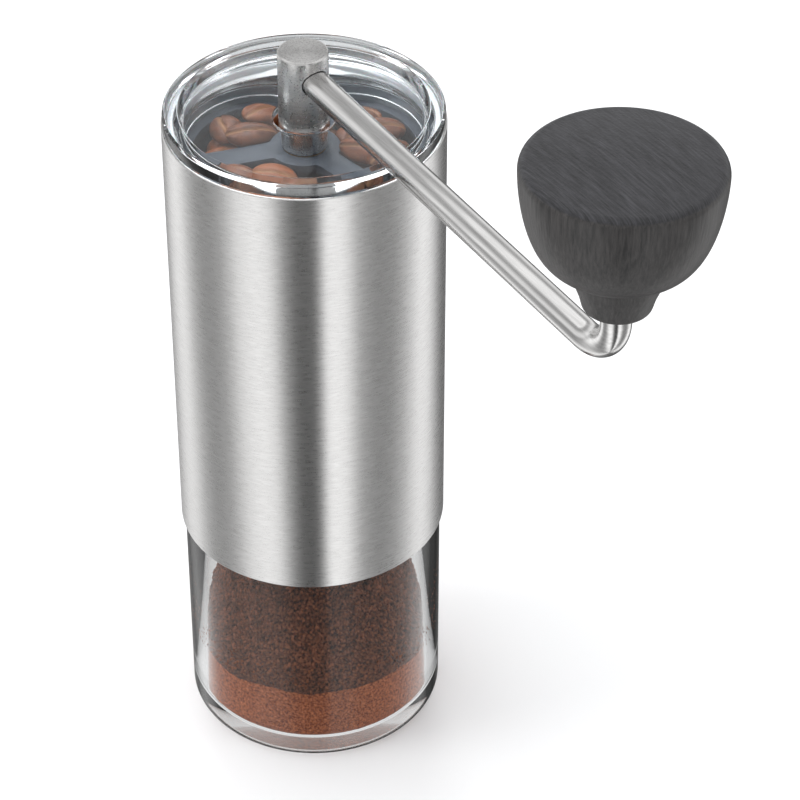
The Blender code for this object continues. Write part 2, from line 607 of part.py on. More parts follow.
def make_inner_burr(parent, ceramic):
    plastic = finish("driver plastic", (0.2, 0.2, 0.22), 0.5, 0.0)
    slope = (BURR_EXIT - BURR_THROAT) / (0.5 * OUTER_BURR_HEIGHT)
    base = BURR_EXIT - GRIND_GAP
    shoulder = OUTER_BURR_BOTTOM + 0.5 * OUTER_BURR_HEIGHT
    fine_top = OUTER_BURR_BOTTOM + 0.21 * OUTER_BURR_HEIGHT
    tip = DRIVER_RADIUS + BURR_RIM
    bore = DRIVER_RADIUS + SEAT_GAP
    edge = 0.5 * MM
    twist = 0.12               # radians per millimetre of height
    outline = [(tip - edge, BURR_TOP)]
    levels = [
        (tip, BURR_TOP - edge), (BURR_THROAT - BURR_SHOULDER, shoulder),
        (base - 0.65 * slope * (fine_top - OUTER_BURR_BOTTOM), fine_top), (base, OUTER_BURR_BOTTOM),
    ]
    for radius, height in levels:
        turn = twist * (height - OUTER_BURR_BOTTOM) / MM
        outline.append((lobed(radius, -BURR_TOOTH_DEPTH, BURR_TEETH, turn), height))
    outline += [(base - 2 * edge, BURR_BOTTOM + edge), (base - 3 * edge, BURR_BOTTOM),
                (bore, BURR_BOTTOM), (bore, BURR_TOP)]
    turned("inner_burr", outline, ceramic, parent)
    key = hexed(SHAFT_FLATS + 2 * KEY_GAP)
    flange_top = BURR_BOTTOM - SEAT_GAP
    flange = DRIVER_RADIUS + DRIVER_FLANGE
    driver = [
        (DRIVER_RADIUS, BURR_TOP - edge), (DRIVER_RADIUS, flange_top), (flange, flange_top),
        (flange, DRIVER_BOTTOM), (key, DRIVER_BOTTOM), (key, BURR_TOP - edge),
    ]
    turned("burr_driver", driver, plastic, parent, SMALL_SIDES)
    steel = finish("detent steel", (0.5, 0.5, 0.5), 0.35, 1.0)
    turned("detent_plate", tube(key, flange, DETENT_BOTTOM, DETENT_TOP), steel, parent, SMALL_SIDES)


def make_nut(parent):
    plastic = finish("nut plastic", (0.08, 0.08, 0.09), 0.45, 0.0)
    grip = lobed(NUT_RADIUS, -NUT_KNURL_DEPTH, NUT_KNURLS)
    bore = THREAD_RADIUS + KEY_GAP
    face = NUT_RADIUS - NUT_KNURL_DEPTH - 0.5 * NUT_CHAMFER
    outline = [
        (face, NUT_TOP), (grip, NUT_TOP - NUT_CHAMFER), (grip, NUT_BOTTOM + NUT_CHAMFER),
        (face, NUT_BOTTOM), (bore, NUT_BOTTOM), (bore, NUT_TOP),
    ]
    turned("adjuster_nut", outline, plastic, parent)


def arm_route():
    """Centre line of the crank's rod: from inside the hub, down the slope, round the bend and up the pin."""
    slope = radians(ARM_SLOPE)
    start = (ARM_START, ARM_HEIGHT - ARM_START * tan(slope))
    bend_height = ARM_END_HEIGHT + BEND_REACH
    route = [start]
    steps = 8
    turn = pi / 2 + slope
    for step in range(steps + 1):
        angle = -pi / 2 - slope + turn * step / steps
        route.append((ARM_LENGTH - ARM_BEND + ARM_BEND * cos(angle), bend_height + ARM_BEND * sin(angle)))
    route.append((ARM_LENGTH, PIN_TOP))
    return route


def make_crank(parent, knob_place):
    steel = finish("crank steel", (0.62, 0.61, 0.60), 0.25, 1.0)
    key = hexed(SHAFT_FLATS + 2 * KEY_GAP)
    outline = [
        (0.0, HUB_TOP), (HUB_RADIUS - HUB_EDGE, HUB_TOP), (HUB_RADIUS, HUB_TOP - HUB_EDGE),
        (HUB_RADIUS, HUB_BOTTOM + HUB_EDGE), (HUB_RADIUS - HUB_EDGE, HUB_BOTTOM),
        (key, HUB_BOTTOM), (key, SOCKET_TOP), (0.0, SOCKET_TOP),
    ]
    hub = turned("crank_hub", outline, steel, parent, SMALL_SIDES)
    hole_radius = ARM_RADIUS + SEAT_GAP
    reach = 2 * HUB_RADIUS
    hole_end = ARM_START - SEAT_GAP
    hole = lathe([(hole_radius, reach), (hole_radius, hole_end), (0.0, hole_end), (0.0, reach)], SMALL_SIDES)
    cut_away(hub, "hub_arm_cutter", hole, (0.0, 0.0, ARM_HEIGHT), (0.0, radians(90 + ARM_SLOPE), 0.0))
    curve = bpy.data.curves.new("crank_arm", "CURVE")
    curve.dimensions = "3D"
    curve.bevel_depth = ARM_RADIUS
    curve.bevel_resolution = 4
    curve.use_fill_caps = True
    route = arm_route()
    spline = curve.splines.new("POLY")
    spline.points.add(len(route) - 1)
    for point, (x, height) in zip(spline.points, route):
        point.co = (x, 0.0, height, 1.0)
    add_object("crank_arm", curve, steel, parent)
    clip_top = PIN_TOP - KNOB_CLIP_DROP
    clip = tube(ARM_RADIUS + SEAT_GAP, KNOB_BORE - SEAT_GAP, clip_top - KNOB_CLIP_THICK, clip_top)
    turned("knob_clip", clip, steel, parent, SMALL_SIDES, knob_place)


def knob_outline(bore, bore_top):
    """The knob's turned shape: a small rounded neck, a bowl and a low crowned top with a rounded edge."""
    low = NECK_BOTTOM
    neck_top = low + NECK_HEIGHT
    high = low + KNOB_HEIGHT
    edge = KNOB_EDGE
    shoulder = high - KNOB_CROWN - edge
    bowl_height = shoulder - neck_top
    outer = [(0.0, high)]
    for share in (0.5, 0.8):
        outer.append((share * KNOB_RADIUS, high - share ** 2 * 0.8 * KNOB_CROWN))
    outer += arc((KNOB_RADIUS - edge, shoulder), edge, 75, 0, 3)
    steps = 7
    for step in range(1, steps + 1):
        angle = pi / 2 * step / steps
        radius = NECK_RADIUS + (KNOB_RADIUS - NECK_RADIUS) * cos(angle) ** 0.75
        outer.append((radius if step < steps else NECK_RADIUS, shoulder - bowl_height * sin(angle) ** 1.15))
    outer += [
        (0.88 * NECK_RADIUS, low + 0.5 * NECK_HEIGHT), (0.7 * NECK_RADIUS, low + 0.18 * NECK_HEIGHT),
        (bore + SEAT_GAP, low), (bore, low), (bore, bore_top), (0.0, bore_top),
    ]
    return outer


def make_knob(parent):
    wood = finish("stained wood", (0.035, 0.035, 0.038), 0.45, 0.0)
    brass = finish("knob bush brass", (0.55, 0.42, 0.2), 0.3, 1.0)
    turned("knob", knob_outline(KNOB_BORE, PIN_TOP + KNOB_CLIP_DROP), wood, parent)
    bush_top = PIN_TOP - KNOB_CLIP_DROP - KNOB_CLIP_THICK - SEAT_GAP
    turned("knob_bush", tube(KNOB_BUSH_INNER, KNOB_BUSH_OUTER, NECK_BOTTOM + SEAT_GAP, bush_top), brass,
           parent, SMALL_SIDES)


def make_jar(parent):
    glass = finish("jar glass", (0.97, 0.98, 0.98), 0.02, 0.0, 0.08)
    inner_round = 2.4 * MM
    edge = 0.5 * MM
    outline = [(CORE_RADIUS - edge, JAR_TOP), (CORE_RADIUS, JAR_TOP - edge)]
    outline += arc((CORE_RADIUS - JAR_FOOT_ROUND, JAR_FOOT_ROUND), JAR_FOOT_ROUND, 0, -90, 3)
    outline += [(0.0, 0.0), (0.0, JAR_FLOOR)]
    outline += arc((JAR_INNER - inner_round, JAR_FLOOR + inner_round), inner_round, -90, 0, 3)
    outline += [(JAR_INNER, JAR_TOP - edge), (JAR_INNER + edge, JAR_TOP)]
    turned("glass_jar", outline, glass, parent)


def main():
    clear_scene()
    housing = frame("housing_frame")
    make_sleeve(housing)
    make_liner(housing)
    bronze = make_upper_bridge(housing)
    make_lower_bridge(housing, bronze)
    make_carrier(housing)
    ceramic = make_outer_burr(housing)
    make_clamp(housing)
    silicone = make_collar(housing)
    make_lid(frame("lid_frame"), silicone)
    make_shaft(frame("shaft_axis"))
    make_inner_burr(frame("burr_axis"), ceramic)
    make_nut(frame("adjuster_axis"))
    crank = frame("crank_axis")
    knob_place = Vector((ARM_LENGTH, 0.0, 0.0))
    make_crank(crank, knob_place)
    make_knob(frame("knob_axis", knob_place))
    make_jar(frame("jar_frame"))


main()
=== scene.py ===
import bmesh
import bpy
import json
import random
from math import asin, cos, hypot, pi, radians, sin, tan
from mathutils import Matrix, Vector, noise


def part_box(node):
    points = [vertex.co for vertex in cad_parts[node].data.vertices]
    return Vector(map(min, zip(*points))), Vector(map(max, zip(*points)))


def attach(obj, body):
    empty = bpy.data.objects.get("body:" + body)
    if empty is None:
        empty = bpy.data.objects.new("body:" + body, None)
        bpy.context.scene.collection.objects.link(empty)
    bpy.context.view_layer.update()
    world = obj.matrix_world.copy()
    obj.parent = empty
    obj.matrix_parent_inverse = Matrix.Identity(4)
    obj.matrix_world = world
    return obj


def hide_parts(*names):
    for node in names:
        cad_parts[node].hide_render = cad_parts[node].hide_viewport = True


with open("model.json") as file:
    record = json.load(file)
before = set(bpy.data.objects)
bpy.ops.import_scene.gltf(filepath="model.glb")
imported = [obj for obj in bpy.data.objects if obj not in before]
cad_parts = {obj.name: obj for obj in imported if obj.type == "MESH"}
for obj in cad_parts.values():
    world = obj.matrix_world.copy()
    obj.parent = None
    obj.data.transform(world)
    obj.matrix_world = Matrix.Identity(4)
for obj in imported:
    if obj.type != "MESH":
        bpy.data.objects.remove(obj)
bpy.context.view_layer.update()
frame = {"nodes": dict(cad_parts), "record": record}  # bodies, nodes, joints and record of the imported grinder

nodes = frame["nodes"]
mm = 0.001
slotOf = {row["node"]: row["material_slot"] for row in frame["record"]["subparts"]}
bodyOf = {node: body for body, members in frame["record"]["behaviour"]["bodies"].items() for node in members}


def put(tree, kind, inputs=None, **settings):  # one node, its settings, and values or links by socket name
    node = tree.nodes.new(kind)
    for key, value in settings.items():
        setattr(node, key, value)
    for key, value in (inputs or {}).items():
        if isinstance(value, bpy.types.NodeSocket):
            tree.links.new(value, node.inputs[key])
        else:
            node.inputs[key].default_value = value
    return node


def maths(tree, operation, *terms):
    return put(tree, "ShaderNodeMath", dict(enumerate(terms)), operation=operation).outputs[0]


def blend(tree, share, one, two):
    return put(tree, "ShaderNodeMix", {0: share, 6: one, 7: two}, data_type="RGBA").outputs[2]


# materials

def newFinish(name, **sockets):
    material = bpy.data.materials.new(name)
    material.use_nodes = True
    shader = material.node_tree.nodes["Principled BSDF"]
    for key, value in sockets.items():
        shader.inputs[key].default_value = value
    return material, material.node_tree, shader


def objectPoint(tree, stretch=(1.0, 1.0, 1.0)):
    coord = put(tree, "ShaderNodeTexCoord")
    return put(tree, "ShaderNodeMapping", {"Vector": coord.outputs["Object"], "Scale": stretch}).outputs[0]


def grain(tree, stretch, scale=1.0, detail=4.0, rough=0.6):
    inputs = {"Vector": objectPoint(tree, stretch), "Scale": scale, "Detail": detail, "Roughness": rough}
    return put(tree, "ShaderNodeTexNoise", inputs).outputs["Fac"]


def tones(tree, value, *stops):  # colour ramp from (place, (r, g, b)) stops
    node = put(tree, "ShaderNodeValToRGB", {"Fac": value})
    points = node.color_ramp.elements
    while len(points) < len(stops):
        points.new(0.5)
    for point, (place, colour) in zip(points, stops):
        point.position = place
        point.color = (*colour, 1.0)
    return node.outputs["Color"]


def spread(tree, value, low, high):  # 0-1 value spread between low and high
    node = put(tree, "ShaderNodeMapRange", {"Value": value, "To Min": low, "To Max": high})
    return node.outputs["Result"]


def relief(tree, shader, height, depth, strength=1.0):
    bump = put(tree, "ShaderNodeBump", {"Height": height, "Strength": strength, "Distance": depth})
    tree.links.new(bump.outputs["Normal"], shader.inputs["Normal"])
    return bump


def feed(tree, shader, colour, roughness):
    tree.links.new(colour, shader.inputs["Base Color"])
    tree.links.new(roughness, shader.inputs["Roughness"])


def roundAxis(tree, shader):  # the highlight runs round the Z axis
    tangent = put(tree, "ShaderNodeTangent", direction_type="RADIAL", axis="Z")
    tree.links.new(tangent.outputs["Tangent"], shader.inputs["Tangent"])


def clearTo(tree, shader):  # lamps reach what is behind clear stock
    path = put(tree, "ShaderNodeLightPath")
    through = put(tree, "ShaderNodeBsdfTransparent")
    mix = put(tree, "ShaderNodeMixShader", {0: path.outputs["Is Shadow Ray"], 1: shader.outputs["BSDF"],
            2: through.outputs["BSDF"]})
    tree.links.new(mix.outputs["Shader"], tree.nodes["Material Output"].inputs["Surface"])


def brushedSteel(name, values):  # fine lines round the Z axis, drawn out highlights
    material, tree, shader = newFinish(name, **{"Metallic": 1.0, "Anisotropic": values["drawn"],
            "Anisotropic Rotation": values["turn"]})
    lines = grain(tree, (values["along"], values["along"], values["across"]), detail=5.0, rough=0.7)
    feed(tree, shader, tones(tree, lines, (0.3, values["dark"]), (0.7, values["light"])),
         spread(tree, lines, *values["roughness"]))
    roundAxis(tree, shader)
    relief(tree, shader, lines, values["depth"], values["strength"])
    return material


def turnedSteel(name, values):  # satin side and lathe rings on the end face
    material, tree, shader = newFinish(name, **{"Metallic": 1.0, "Anisotropic": values["drawn"],
            "Anisotropic Rotation": values["turn"]})
    point = objectPoint(tree)
    axes = put(tree, "ShaderNodeSeparateXYZ", {0: point})
    flat = put(tree, "ShaderNodeCombineXYZ", {0: axes.outputs[0], 1: axes.outputs[1]})
    reach = put(tree, "ShaderNodeVectorMath", {0: flat.outputs[0]}, operation="LENGTH").outputs["Value"]
    place = put(tree, "ShaderNodeCombineXYZ", {0: reach, 2: axes.outputs[2]}).outputs[0]
    rings = put(tree, "ShaderNodeTexNoise", {"Vector": place, "Scale": values["rings"],
            "Detail": 3.0}).outputs["Fac"]
    specks = grain(tree, (values["specks"],) * 3, detail=3.0)
    both = maths(tree, "MULTIPLY", rings, specks)
    feed(tree, shader, tones(tree, both, (0.08, values["dark"]), (0.45, values["light"])),
         spread(tree, specks, *values["roughness"]))
    roundAxis(tree, shader)
    relief(tree, shader, rings, values["depth"], values["strength"])
    return material


def drawnSteel(name, values):  # polished rod with faint lines along it
    material, tree, shader = newFinish(name, **{"Metallic": 1.0})
    lines = grain(tree, values["stretch"], detail=4.0)
    feed(tree, shader, tones(tree, lines, (0.3, values["dark"]), (0.7, values["light"])),
         spread(tree, lines, *values["roughness"]))
    relief(tree, shader, lines, values["depth"], values["strength"])
    return material


def plainMetal(name, dark, light, roughness, scale=900.0):  # bronze, spring and fastener stock
    material, tree, shader = newFinish(name, **{"Metallic": 1.0})
    cloud = grain(tree, (scale,) * 3)
    feed(tree, shader, tones(tree, cloud, (0.3, dark), (0.7, light)),
         spread(tree, cloud, roughness * 0.8, roughness * 1.25))
    relief(tree, shader, cloud, 0.02 * mm, 0.4)
    return material


def mouldedPlastic(name, colour, roughness, scale=2200.0, depth=0.02 * mm):  # fine spark-eroded texture
    material, tree, shader = newFinish(name, **{"Specular IOR Level": 0.45})
    pits = grain(tree, (scale,) * 3, detail=3.0)
    wear = grain(tree, (90.0,) * 3, detail=3.0)
    worn = tuple(min(1.0, part * 1.35 + 0.01) for part in colour)
    feed(tree, shader, tones(tree, wear, (0.35, colour), (0.75, worn)),
         spread(tree, wear, roughness * 0.85, roughness * 1.2))
    relief(tree, shader, pits, depth, 0.5)
    return material


def clearAcrylic(name, values):
    material, tree, shader = newFinish(name, **{"Base Color": (*values["tint"], 1.0), "IOR": values["ior"],
            "Transmission Weight": 1.0, "Roughness": values["roughness"]})
    haze = grain(tree, (values["scale"],) * 3, detail=2.0)
    relief(tree, shader, haze, values["ripple"], 0.3)
    clearTo(tree, shader)
    return material


def siliconeRubber(name):
    material, tree, shader = newFinish(name, **{"Transmission Weight": 0.35, "IOR": 1.41, "Sheen Weight": 0.1,
            "Subsurface Weight": 0.2, "Subsurface Scale": 0.6 * mm})
    cloud = grain(tree, (500.0,) * 3)
    feed(tree, shader, tones(tree, cloud, (0.3, (0.66, 0.68, 0.7)), (0.7, (0.8, 0.82, 0.84))),
         spread(tree, cloud, 0.4, 0.6))
    relief(tree, shader, cloud, 0.02 * mm, 0.4)
    return material


def firedCeramic(name):
    material, tree, shader = newFinish(name, **{"Specular IOR Level": 0.5})
    cloud = grain(tree, (1500.0,) * 3)
    feed(tree, shader, tones(tree, cloud, (0.3, (0.72, 0.69, 0.64)), (0.7, (0.86, 0.84, 0.8))),
         spread(tree, cloud, 0.35, 0.55))
    relief(tree, shader, cloud, 0.03 * mm, 0.5)
    return material


woodValues = {"flecks": ((-12, (150.0, 2600.0, 400.0)), (78, (240.0, 5200.0, 400.0))),
              "fibre": 1900.0, "run": 130.0, "dark": (0.010, 0.0095, 0.0095), "light": (0.052, 0.048, 0.047),
              "crownDark": (0.005, 0.005, 0.006), "crownLight": (0.055, 0.055, 0.062), "crownFrom": 0.9915,
              "roughness": (0.4, 0.58), "poreDepth": 0.1 * mm, "poreStrength": 0.6}


def blackWood(name, values):  # stained wood, fibres upright: streaks on the bowl, flecks on the crown
    material, tree, shader = newFinish(name, **{"Specular IOR Level": 0.42, "Coat Weight": 0.12,
            "Coat Roughness": 0.35})
    fibre, run = values["fibre"], values["run"]
    streaks = grain(tree, (fibre, fibre, run), detail=6.0, rough=0.68)
    pores = grain(tree, (fibre * 0.8, fibre * 0.8, run * 1.6), detail=2.0)
    cloud = grain(tree, (110.0, 110.0, 30.0), detail=3.0)
    mixed = maths(tree, "MULTIPLY", streaks, 0.72)
    mixed = maths(tree, "MULTIPLY_ADD", cloud, 0.28, mixed)
    bowl = tones(tree, mixed, (0.38, values["dark"]), (0.64, values["light"]))
    flecks = []
    for turn, stretch in values["flecks"]:
        spun = put(tree, "ShaderNodeMapping", {"Vector": objectPoint(tree), "Scale": stretch,
                "Rotation": (0.0, 0.0, radians(turn))}).outputs[0]
        flecks.append(put(tree, "ShaderNodeTexNoise", {"Vector": spun, "Scale": 1.0, "Detail": 4.0,
                "Roughness": 0.7}).outputs["Fac"])
    crossed = maths(tree, "MULTIPLY", flecks[0], flecks[1])
    crown = tones(tree, crossed, (0.14, values["crownDark"]), (0.48, values["crownLight"]))
    height = put(tree, "ShaderNodeSeparateXYZ", {0: objectPoint(tree)}).outputs[2]
    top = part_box("knob")[1].z
    edge = top * values["crownFrom"]
    onCrown = put(tree, "ShaderNodeMapRange", {"Value": height, "From Min": edge - 0.4 * mm,
            "From Max": edge})
    both = blend(tree, onCrown.outputs[0], bowl, crown)
    feed(tree, shader, both, spread(tree, streaks, *values["roughness"]))
    relief(tree, shader, pores, values["poreDepth"], values["poreStrength"])
    return material


def roastedBean(name):  # oily husk with paler chaff in the crease
    material, tree, shader = newFinish(name, **{"Specular IOR Level": 0.55, "Coat Weight": 0.15,
            "Coat Roughness": 0.3})
    tone = put(tree, "ShaderNodeAttribute", attribute_name="tone").outputs["Fac"]
    crease = put(tree, "ShaderNodeAttribute", attribute_name="crease").outputs["Fac"]
    skin = grain(tree, (420.0,) * 3, detail=5.0)
    level = maths(tree, "MULTIPLY_ADD", tone, 0.5, skin)
    husk = tones(tree, level, (0.3, (0.055, 0.016, 0.006)), (0.95, (0.27, 0.085, 0.030)))
    chaff = blend(tree, crease, husk, (0.30, 0.15, 0.07, 1.0))
    feed(tree, shader, chaff, spread(tree, skin, 0.28, 0.5))
    relief(tree, shader, skin, 0.25 * mm, 0.6)
    return material


def groundCoffee(name, dark, light, scale, bump):
    material, tree, shader = newFinish(name, **{"Specular IOR Level": 0.25})
    crumbs = grain(tree, (scale,) * 3, detail=6.0, rough=0.75)
    tone = put(tree, "ShaderNodeAttribute", attribute_name="tone").outputs["Fac"]
    level = maths(tree, "MULTIPLY_ADD", tone, 0.22, crumbs)
    feed(tree, shader, tones(tree, level, (0.4, dark), (0.68, light)), spread(tree, crumbs, 0.6, 0.95))
    relief(tree, shader, crumbs, bump, 1.0)
    return material


steelValues = {"along": 420.0, "across": 3000.0, "drawn": 0.9, "turn": 0.25, "roughness": (0.24, 0.32),
               "dark": (0.52, 0.515, 0.51), "light": (0.68, 0.675, 0.67), "depth": 0.01 * mm,
               "strength": 0.12}
hubValues = {"rings": 2600.0, "specks": 2400.0, "drawn": 0.5, "turn": 0.25, "roughness": (0.24, 0.32),
             "dark": (0.44, 0.435, 0.43), "light": (0.68, 0.675, 0.67), "depth": 0.01 * mm, "strength": 0.25}
rodValues = {"stretch": (40.0, 1600.0, 1600.0), "roughness": (0.15, 0.22),
             "dark": (0.55, 0.545, 0.54), "light": (0.70, 0.695, 0.69), "depth": 0.01 * mm, "strength": 0.15}
lidValues = {"tint": (0.93, 0.96, 0.98), "ior": 1.49, "roughness": 0.02, "scale": 40.0, "ripple": 0.02 * mm}
glassValues = {"tint": (0.985, 0.995, 1.0), "ior": 1.25, "roughness": 0.0, "scale": 50.0, "ripple": 0.03 * mm}

sleeveSteel = brushedSteel("sleeveSteel", steelValues)
hubSteel = turnedSteel("hubSteel", hubValues)
rodSteel = drawnSteel("rodSteel", rodValues)
lidAcrylic = clearAcrylic("lidAcrylic", lidValues)
jarGlass = clearAcrylic("jarGlass", glassValues)
bridgePlastic = mouldedPlastic("bridgePlastic", (0.052, 0.062, 0.078), 0.42)
finishes = {
    "sleeve_steel": sleeveSteel,
    "crank_steel": hubSteel,
    "shaft_steel": plainMetal("shaftSteel", (0.42, 0.42, 0.42), (0.6, 0.6, 0.6), 0.3),
    "fastener_steel": plainMetal("fastenerSteel", (0.36, 0.36, 0.35), (0.58, 0.58, 0.57), 0.34),
    "spring_steel": plainMetal("springSteel", (0.3, 0.3, 0.31), (0.5, 0.5, 0.5), 0.3),
    "bearing_bronze": plainMetal("bearingBronze", (0.30, 0.18, 0.08), (0.5, 0.33, 0.16), 0.38, 2400.0),
    "clear_acrylic": lidAcrylic,
    "jar_glass": jarGlass,
    "silicone": siliconeRubber("siliconeRubber"),
    "dark_plastic": bridgePlastic,
    "grey_plastic": mouldedPlastic("linerPlastic", (0.13, 0.15, 0.17), 0.45),
    "nut_plastic": mouldedPlastic("nutPlastic", (0.018, 0.018, 0.02), 0.4),
    "ceramic": firedCeramic("burrCeramic"),
    "black_wood": blackWood("blackWood", woodValues),
}
for name, node in nodes.items():
    node.data.materials.clear()
    node.data.materials.append(finishes[slotOf[name]])
print("finishes made:", len(finishes))


# shared mesh work

quarterTurn = [n * pi / 16 for n in range(9)]
halfTurn = [n * pi / 16 for n in range(17)]


def placed(name, data):
    thing = bpy.data.objects.new(name, data)
    bpy.context.scene.collection.objects.link(thing)
    return thing


def meshObject(name, work):
    bmesh.ops.remove_doubles(work, verts=work.verts, dist=1e-7)
    bmesh.ops.recalc_face_normals(work, faces=work.faces)
    mesh = bpy.data.meshes.new(name)
    work.to_mesh(mesh)
    work.free()
    return placed(name, mesh)


def smooth(piece, degrees=32):
    piece.data.shade_smooth()
    piece.data.set_sharp_from_angle(angle=radians(degrees))


def settle(piece):  # modifiers become plain mesh
    graph = bpy.context.evaluated_depsgraph_get()
    mesh = bpy.data.meshes.new_from_object(piece.evaluated_get(graph))
    piece.modifiers.clear()
    piece.data = mesh


def stand(piece, *replaced, body=None, finish=None):  # rides with, looks like and replaces these nodes
    first = replaced[0] if replaced else None
    piece.data.materials.clear()
    piece.data.materials.append(finish or finishes[slotOf[first]])
    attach(piece, body or bodyOf[first])
    if replaced:
        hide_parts(*replaced)


def merged(node):
    work = bmesh.new()
    work.from_mesh(nodes[node].data)
    bmesh.ops.remove_doubles(work, verts=work.verts, dist=1e-6)
    return work


def profileOf(node, axisX=0.0):  # the turned outline of a node, as (radius, height) in order
    work = merged(node)
    cut = {v for v in work.verts if abs(v.co.y) < 0.002 * mm and v.co.x - axisX > -0.002 * mm}
    beside = {v: [e.other_vert(v) for e in v.link_edges if e.other_vert(v) in cut] for v in cut}
    here = min(cut, key=lambda v: (len(beside[v]), v.co.z, v.co.x))
    walk = []
    while here:
        walk.append(here)
        here = next((v for v in beside[here] if v not in walk), None)
    points = [(v.co.x - axisX, v.co.z) for v in walk]
    work.free()
    return points


def eased(points, radius, steps=4, closed=True):  # rounds each real corner of an outline
    soft = []
    for number, point in enumerate(points):
        here = Vector(point)
        if not closed and number in (0, len(points) - 1):
            soft.append(tuple(here))
            continue
        back = Vector(points[number - 1]) - here
        on = Vector(points[(number + 1) % len(points)]) - here
        corner = back.angle(on)
        if corner > radians(150):
            soft.append(tuple(here))
            continue
        reach = min(radius / tan(corner / 2), 0.45 * back.length, 0.45 * on.length)
        one, two = here + back.normalized() * reach, here + on.normalized() * reach
        for step in range(steps + 1):
            share = step / steps
            soft.append(tuple(one * (1 - share) ** 2 + here * 2 * share * (1 - share) + two * share ** 2))
    return soft


def joinRings(work, loops, sides):  # faces from each ring of points to the next; a tip is a ring of one
    for one, two in loops:
        for step in range(sides):
            after = (step + 1) % sides
            corners = [one[step % len(one)], two[step % len(two)],
                       two[after % len(two)], one[after % len(one)]]
            corners = list(dict.fromkeys(corners))
            if len(corners) > 2:
                work.faces.new(corners)


def turnRound(outline, sides, axisX=0.0, wave=None):  # wave(radius, height, angle) may reshape the outline
    work = bmesh.new()
    rings = []
    for radius, height in outline:
        count = 1 if abs(radius) < 1e-7 else sides
        ring = []
        for step in range(count):
            angle = 2 * pi * step / sides
            reach, level = wave(radius, height, angle) if wave else (radius, height)
            ring.append(work.verts.new((axisX + reach * cos(angle), reach * sin(angle), level)))
        rings.append(ring)
    loops = list(zip(rings, rings[1:] + rings[:1]))
    if len(rings[0]) == 1 and len(rings[-1]) == 1:
        loops.pop()
    joinRings(work, loops, sides)
    return work


def upright(outline, low, high):  # a straight prism over a flat outline
    work = bmesh.new()
    floor = [work.verts.new((x, y, low)) for x, y in outline]
    roof = [work.verts.new((x, y, high)) for x, y in outline]
    work.faces.new(floor)
    work.faces.new(roof)
    for step in range(len(outline)):
        after = (step + 1) % len(outline)
        work.faces.new((floor[step], floor[after], roof[after], roof[step]))
    return work


def cutOut(piece, cutter):
    boolean = piece.modifiers.new("cut", "BOOLEAN")
    boolean.operation = "DIFFERENCE"
    boolean.solver = "EXACT"
    boolean.object = cutter
    settle(piece)
    bpy.data.objects.remove(cutter)


def soften(piece, width, degrees=40, segments=2):
    bevel = piece.modifiers.new("softEdges", "BEVEL")
    bevel.width = width
    bevel.segments = segments
    bevel.limit_method = "ANGLE"
    bevel.angle_limit = radians(degrees)
    bevel.harden_normals = False
    settle(piece)


def newGrowth(name, **sockets):  # a geometry tree with named inputs
    tree = bpy.data.node_groups.new(name, "GeometryNodeTree")
    tree.interface.new_socket("Geometry", in_out="INPUT", socket_type="NodeSocketGeometry")
    for label, (kind, value) in sockets.items():
        socket = tree.interface.new_socket(label, in_out="INPUT", socket_type="NodeSocket" + kind)
        if value is not None:
            socket.default_value = value
    tree.interface.new_socket("Geometry", in_out="OUTPUT", socket_type="NodeSocketGeometry")
    return tree, tree.nodes.new("NodeGroupInput").outputs, tree.nodes.new("NodeGroupOutput")


def grow(name, source, tree, **values):  # runs the tree on source and keeps the plain mesh
    modifier = source.modifiers.new(name, "NODES")
    modifier.node_group = tree
    for item in tree.interface.items_tree:
        if item.in_out == "INPUT" and item.name in values:
            modifier[item.identifier] = values[item.name]
    source.update_tag()
    graph = bpy.context.evaluated_depsgraph_get()
    mesh = bpy.data.meshes.new_from_object(source.evaluated_get(graph))
    source.modifiers.remove(modifier)
    bpy.data.objects.remove(source)
    return placed(name, mesh)


def joinParts(tree, *parts):
    joined = tree.nodes.new("GeometryNodeJoinGeometry")
    for part in parts:
        tree.links.new(part, joined.inputs[0])
    return joined.outputs[0]


def endGrowth(tree, exit, geometry, material):  # real geometry with its finish
    real = put(tree, "GeometryNodeRealizeInstances", {"Geometry": geometry})
    done = put(tree, "GeometryNodeSetMaterial", {"Geometry": real.outputs[0], "Material": material})
    tree.links.new(done.outputs[0], exit.inputs[0])


# turned pieces: node: (piece, sides, rounding of its edges)
turnedPieces = {
    "body_sleeve": ("steelSleeve", 256, 0.12 * mm),
    "hopper_liner": ("hopperWall", 192, 0.3 * mm),
    "lid": ("clearLid", 256, 0.32 * mm),
    "lid_seal": ("lidSealRing", 192, 0.25 * mm),
    "jar_collar": ("jarCollar", 192, 0.15 * mm),
    "lower_jar_seal": ("lowerJarSeal", 192, 0.25 * mm),
    "upper_jar_seal": ("upperJarSeal", 192, 0.25 * mm),
    "upper_bush": ("upperBush", 96, 0.15 * mm),
    "lower_bush": ("lowerBush", 96, 0.15 * mm),
    "thrust_washer": ("thrustWasher", 96, 0.1 * mm),
}


def makeTurnedPieces():
    for node, (name, sides, edge) in turnedPieces.items():
        piece = meshObject(name, turnRound(eased(profileOf(node), edge), sides))
        smooth(piece)
        stand(piece, node)
    print("turned pieces made:", len(turnedPieces))


jarValues = {"sides": 256, "wall": 2.3 * mm, "floor": 3.6 * mm, "footRound": 2.6 * mm, "innerRound": 2.4 * mm,
             "punt": 0.35 * mm, "puntRadius": 17.0 * mm, "footRing": 23.2 * mm}


